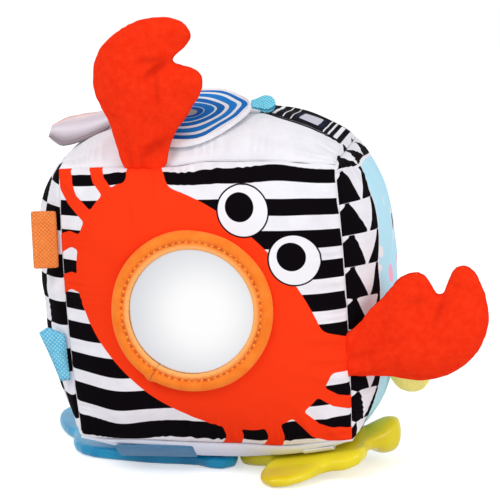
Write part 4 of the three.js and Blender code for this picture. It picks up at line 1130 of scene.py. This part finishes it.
def loop_path(root, out, side, reach, bulge):
    """A folded ribbon's loop: out from the seam, round the end and back."""
    layer, turn = 0.45, reach - bulge
    shares, angles = np.linspace(0, 1, 6), np.linspace(0.2, math.pi - 0.2, LOOP_STEPS)
    way_out = [(turn * share, layer + (bulge - layer) * smooth(share, 0, 1)) for share in shares]
    flat = [(x, -y) for x, y in way_out]
    flat += [(turn + bulge * math.sin(angle), -bulge * math.cos(angle)) for angle in angles]
    flat += way_out[::-1]
    return [root + unit(out) * x + unit(side) * y for x, y in flat]


def left_seam(height):
    return body_point(-1.0, -1.0, height / HALF_EDGE)


def left_seam_axes(low, high):
    """The directions along the left front seam between two heights, and out of it to the left."""
    chord = unit(left_seam(high) - left_seam(low))
    return chord, unit(np.cross(chord, (0, 1, 0)))


orange_ribbon = ribbon_material("orange_woven_ribbon", "f2812f", "e26a20", "fba055", 1.4)
blue_ribbon = ribbon_material("blue_woven_ribbon", "6cc8ea", "4fb2dc", "a6e2f5", 1.5)
strap_ribbon = ribbon_material("blue_strap_ribbon", "4b86b0", "3d74a0", "5990b8", 1.5)
cyan_ribbon = ribbon_material("cyan_woven_ribbon", "5ccbe6", "38b0d6", "a8e8f4", 1.3)

TAG_STAND = 1.1  # a tag stands this far out of the left seam
chord, outwards = left_seam_axes(16.5, 44.5)
orange_path = loop_path(left_seam(30.5) + outwards * TAG_STAND, outwards, (0, -1, 0), 12.4, 2.1)
ribbon("orange_tag_loop", orange_path, chord, 28, 0.6, "orange_loop", ["orange_tag"], "orange_ribbon",
       orange_ribbon)

PULL_TAG_REACH, PULL_TAG_ROUND = 11.9, 5
turn, tip = math.radians(14), math.radians(42)
low, high = (np.array(corner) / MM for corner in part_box("pull_tag"))
out = np.array((math.cos(turn), math.sin(turn), 0))
across = np.array((-math.sin(turn) * math.cos(tip), math.cos(turn) * math.cos(tip), math.sin(tip)))
root = (low + high) / 2 - out * 7.6 + (0, 0, 1.1)
pull_path = loop_path(root, out, np.cross(out, across), PULL_TAG_REACH, 1.5)
tag = ribbon("pull_tag_loop", pull_path, across, 10, 0.6, None, ["pull_tag"], "cyan_ribbon", cyan_ribbon,
             round_end=(root, out, PULL_TAG_REACH, PULL_TAG_ROUND))
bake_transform(tag)

# The blue tag is a ribbon folded over on the slant and pressed flat; corners in shares of reach and width
BLUE_TAG_REACH, BLUE_TAG_WIDTH, BLUE_TAG_LAYER = 13, 25, 0.35
BLUE_TAG_BACK = ((0, 0.44), (0.65, 0.6), (1, 0.5), (0.7, 0.05), (0.385, -0.5), (0, -0.5))
BLUE_TAG_FRONT = ((0, 0.44), (0.6, 0.56), (0.93, 0.45), (0.66, 0.0), (0.33, -0.47), (0, -0.5))
chord, outwards = left_seam_axes(-40, -15)
root = left_seam(-27.5) + outwards * TAG_STAND
bm = bmesh.new()
for layer, shares in ((BLUE_TAG_LAYER, BLUE_TAG_BACK), (-BLUE_TAG_LAYER, BLUE_TAG_FRONT)):
    corners = [outwards * x * BLUE_TAG_REACH + chord * y * BLUE_TAG_WIDTH + (0, layer, 0) for x, y in shares]
    bm.faces.new([bm.verts.new((root + corner) * MM) for corner in corners])
bmesh.ops.recalc_face_normals(bm, faces=bm.faces)
bmesh.ops.subdivide_edges(bm, edges=bm.edges, cuts=3)
bmesh.ops.triangulate(bm, faces=bm.faces)
bmesh.ops.subdivide_edges(bm, edges=bm.edges, cuts=2)
points = get_points(bm) - root
area = sum(face.calc_area() for face in bm.faces)
tag = piece("blue_tag_fold", bm, "blue_ribbon", ["blue_tag"], "blue_ribbon", blue_ribbon,
            along=points @ outwards, across=points @ chord)
thicken(tag, 0.55, offset=0)


def strap_path(middle, inner, lift, outer=0.985):
    """Along the underside from the front bottom seam back to where the strap holds its teether."""
    shares = np.linspace(outer, inner, 20)
    points = puffed(on_cube("bottom", np.full(20, middle / HALF_EDGE), shares)) + BODY_MIDDLE
    points[:, 2] += seam_sag(points) - lift
    return points


ribbon("long_teether_strap_ribbon", strap_path(-31, 0.58, 0.9), (1, 0, 0), 39.5, 0.9, "long_teether",
       ["blue_teether_strap"], "blue_ribbon", strap_ribbon)
left, right = (body_point(x / HALF_EDGE, -0.85, -1.0) for x in (42, 58))
ribbon("star_strap_cloth", strap_path(50, 0.66, 0.6, 0.96), right - left, 15.5, 0.9, "star",
       ["star_teether_strap"], "print_cloth", white_cotton)

# Teethers

def elastomer(name, hexes, depth, coat):
    """Moulded food-grade silicone: glossy, softly see-through at its edges, with faint flow marks."""
    made, tree = start_material(name)
    return finish_material(made, mottled(tree, hexes, 22, detail=1.0), rough_bump(tree, 9, 0.08, detail=1.0),
                           Roughness=0.3, Specular_IOR_Level=0.3, Coat_Weight=coat, Coat_Roughness=0.1,
                           Subsurface_Weight=0.12, Subsurface_Radius=(1, 1, 1), Subsurface_Scale=depth * MM)


def star_form(points):
    """Draws the star's front right arm in, broadens its front one and rounds its right one to a knob."""
    from_middle = points[:, :2] - STAR_CENTRE
    away, turn = np.linalg.norm(from_middle, axis=1), np.arctan2(from_middle[:, 1], from_middle[:, 0])
    drawn = 1 - 0.3 * bell(turn, math.radians(-45), 0.42) * smooth(away, 14, 40)
    broad = bell(turn, STAR_TURN, 0.5) * smooth(away, 12, 30)
    turn += 0.45 * (turn - STAR_TURN) * broad
    away *= drawn * (1 + 0.08 * broad)
    points[:, :2] = STAR_CENTRE + np.stack([np.cos(turn), np.sin(turn)], 1) * away[:, None]
    knob = STAR_CENTRE + (STAR_TIPS[STAR_KNOB] - STAR_CENTRE) * 0.86
    in_knob = np.linalg.norm(points[:, :2] - knob, axis=1) < 4
    off_knob = points - (*knob, np.median(points[in_knob, 2]))
    near = bell(np.linalg.norm(off_knob[:, :2], axis=1), 0, 9)[:, None]
    points += off_knob * near * (0.5, 0.5, 1.5) + near * (0, 0, 2.6)
    points[:, 2] -= 1.3 * smooth(-points[:, 1], 62, 72) * smooth(points[:, 2], 2.5, 6)
    return points


def moulded(name, node, body, slot, material, up, sunk, reform=None, webs=()):
    """A teether from its CAD shape, with softly rounded edges and its top sunk a little."""
    up = unit(np.array(up))
    bm = cad_copy([node])
    for corners in webs:
        bmesh.ops.convex_hull(bm, input=[bm.verts.new(corner * MM) for corner in corners])
    made = piece(name, bm, body, [node], slot)
    one_skin(made, 0.8)
    bm = open_mesh(made)
    relax(bm, 4)
    points, normals = get_points(bm), get_normals(bm)
    points -= up * sunk * (np.clip(normals @ up, 0, 1) ** 2)[:, None]
    set_points(bm, reform(points) if reform else points)
    close_mesh(bm, made)
    shade_smooth(made)
    made.data.materials.append(material)


moulded("long_teether_rubber", "blue_teether", "long_teether", "blue_elastomer",
        elastomer("blue_silicone", ("008abb", "18abd8"), 3.0, 0.05), (0, 0, 1), 0.5)

# Thin webs between arms of the star: the two arms, and how far out along them each web reaches
webs = []
for first, second, share in ((0, 1, 0.62), (1, 2, 0.6), (4, 0, 0.4)):
    plan = [STAR_CENTRE, *(STAR_CENTRE + (STAR_TIPS[arm] - STAR_CENTRE) * share for arm in (first, second))]
    webs.append([np.array((*flat, star_rise(flat) + height)) for flat in plan for height in (0.6, 6.8)])
tilt_up = Matrix.Rotation(STAR_TILT, 3, Vector((STAR_RISE[1], -STAR_RISE[0], 0))) @ Vector((0, 0, 1))
moulded("star_teether_rubber", "star_teether", "star", "yellow_elastomer",
        elastomer("yellow_silicone", ("e0c806", "f0e424"), 4.0, 0.1), tilt_up, 0.6, star_form, webs)

# Film inside the satin flap

# Thin clear film that rustles: glossy, creased
crinkle_film = plain_material("crinkle_polyester_film", ("d5dbe0", "eef2f5"), 4, 3, 0.8, Roughness=0.2)
FILM_WIDTH_SHARE, FILM_LENGTH_SHARE = 0.84, 0.9  # the film ends inside the cover's edges
bm, flat = grid(40, 30)
along, across = (1 - flat[:, 0]) / 2 * FILM_LENGTH_SHARE, flat[:, 1] * FILM_WIDTH_SHARE
set_points(bm, satin_point(along, across, SATIN_LIFT + satin_swell(along, across)[1]))
area = sum(face.calc_area() for face in bm.faces)
film = piece("satin_flap_crinkle_sheet", bm, "satin_flap", ["satin_flap_film"], "crinkle_film", crinkle_film)
thicken(film, 0.3, offset=0)

# Finishes of the CAD nodes that stay

# Cut polyurethane foam: matt, with 1 mm pores
foam = plain_material("open_cell_foam", ("dedbd2", "f1efe8"), 1.0, 1.0, 0.5, Roughness=0.95)
# Waxy milk-white capsule with faint flow marks
capsule = plain_material("moulded_polypropylene", ("dde3e9", "eef2f6"), 12, 0.9, 0.04, Roughness=0.4)
# Glossy moulded bead
bead = plain_material("red_abs_bead", ("b5322a", "cc4436"), 5, 1.5, 0.03, Roughness=0.25, Coat_Weight=0.3)
finishes = {"ring_flap_film": crinkle_film, "mirror_pad": foam, "rattle_shell_upper": capsule,
            "rattle_shell_lower": capsule, **{f"rattle_bead_{i}": bead for i in (1, 2, 3)}}
for node_name, finish in finishes.items():
    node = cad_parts[node_name]
    if not node.material_slots:
        node.data.materials.append(finish)
    for place in node.material_slots:
        place.material = finish

# Camera, floor and light

AZIMUTH, ELEVATION, ROLL = math.radians(8.298), math.radians(9.612), math.radians(0.985)
DISTANCE = 1.001  # from the block's middle
FRAME = 500  # the photograph's width and height in pixels
FOCAL = 1918  # in pixels
MIDDLE_AT = (225.1, 278)  # the block's middle in the photograph, in pixels
SENSOR = 36
right = Vector((math.cos(AZIMUTH), math.sin(AZIMUTH), 0))
back = Vector((right.y, -right.x, 0)) * math.cos(ELEVATION) + Vector((0, 0, math.sin(ELEVATION)))
up = back.cross(right)
turned_right = right * math.cos(ROLL) - up * math.sin(ROLL)
turned_up = right * math.sin(ROLL) + up * math.cos(ROLL)
camera_data = bpy.data.cameras.new("camera")
camera_data.sensor_width = SENSOR
camera_data.lens = FOCAL * SENSOR / FRAME
camera_data.shift_x = (FRAME / 2 - MIDDLE_AT[0]) / FRAME
camera_data.shift_y = (MIDDLE_AT[1] - FRAME / 2) / FRAME
camera = bpy.data.objects.new("camera", camera_data)
facing = Matrix((turned_right, turned_up, back)).transposed().to_4x4()
camera.matrix_world = Matrix.Translation(Vector((0, 0, BODY_HEIGHT * MM)) + back * DISTANCE) @ facing
bpy.context.collection.objects.link(camera)
bpy.context.scene.camera = camera

bm = bmesh.new()
bmesh.ops.create_grid(bm, x_segments=1, y_segments=1, size=4)
floor = piece("floor", bm, None)
# Seamless paper: white to the camera, keeps soft shadows
made, tree = start_material("white_paper_floor")
path = add(tree, "ShaderNodeLightPath")
paper = add(tree, "ShaderNodeBsdfDiffuse", {"Color": (0.86, 0.86, 0.87, 1)})
glow = add(tree, "ShaderNodeEmission", {"Color": (1, 1, 1, 1), "Strength": 0.5})
lit = add(tree, "ShaderNodeAddShader", {0: paper, 1: glow})
white = add(tree, "ShaderNodeEmission", {"Color": (1, 1, 1, 1), "Strength": 1.0})
bright = {0: path.outputs["Is Glossy Ray"], 1: path.outputs["Is Transmission Ray"]}
mirrored = add(tree, "ShaderNodeMath", bright, operation="MAXIMUM")
for_camera = {0: path.outputs["Is Camera Ray"], 1: paper, 2: lit}
shown = add(tree, "ShaderNodeMixShader", for_camera)
shown = add(tree, "ShaderNodeMixShader", {0: mirrored, 1: shown, 2: white})
add(tree, "ShaderNodeOutputMaterial", {"Surface": shown})
floor.data.materials.append(made)

world = bpy.data.worlds.new("studio")
world.use_nodes = True
tree = world.node_tree
tree.nodes.clear()
path = add(tree, "ShaderNodeLightPath")
bright = {0: path.outputs["Is Camera Ray"], 1: path.outputs["Is Glossy Ray"]}
seen = add(tree, "ShaderNodeMath", bright, operation="MAXIMUM")
bright = {0: seen, 1: path.outputs["Is Transmission Ray"]}
seen = add(tree, "ShaderNodeMath", bright, operation="MAXIMUM")
strength = add(tree, "ShaderNodeMapRange", {"Value": seen, "To Min": 0.66, "To Max": 1.0})
sky = add(tree, "ShaderNodeBackground", {"Color": (1, 1, 1, 1), "Strength": strength})
add(tree, "ShaderNodeOutputWorld", {"Surface": sky})
bpy.context.scene.world = world


def soft_lamp(name, place, size, power):
    """A large soft box that shines at the block's middle from a place in metres."""
    light = bpy.data.lights.new(name, "AREA")
    light.shape = "SQUARE"
    light.size = size
    light.energy = power
    lamp = bpy.data.objects.new(name, light)
    lamp.location = place
    lamp.rotation_euler = (Vector(place) - Vector((0, 0, 0.09))).to_track_quat("Z", "Y").to_euler()
    bpy.context.collection.objects.link(lamp)


soft_lamp("key", (-0.9, -1.3, 1.5), 0.9, 13)
soft_lamp("fill", (1.5, -0.9, 0.7), 1.0, 9)
bpy.context.scene.view_settings.view_transform = "Standard"
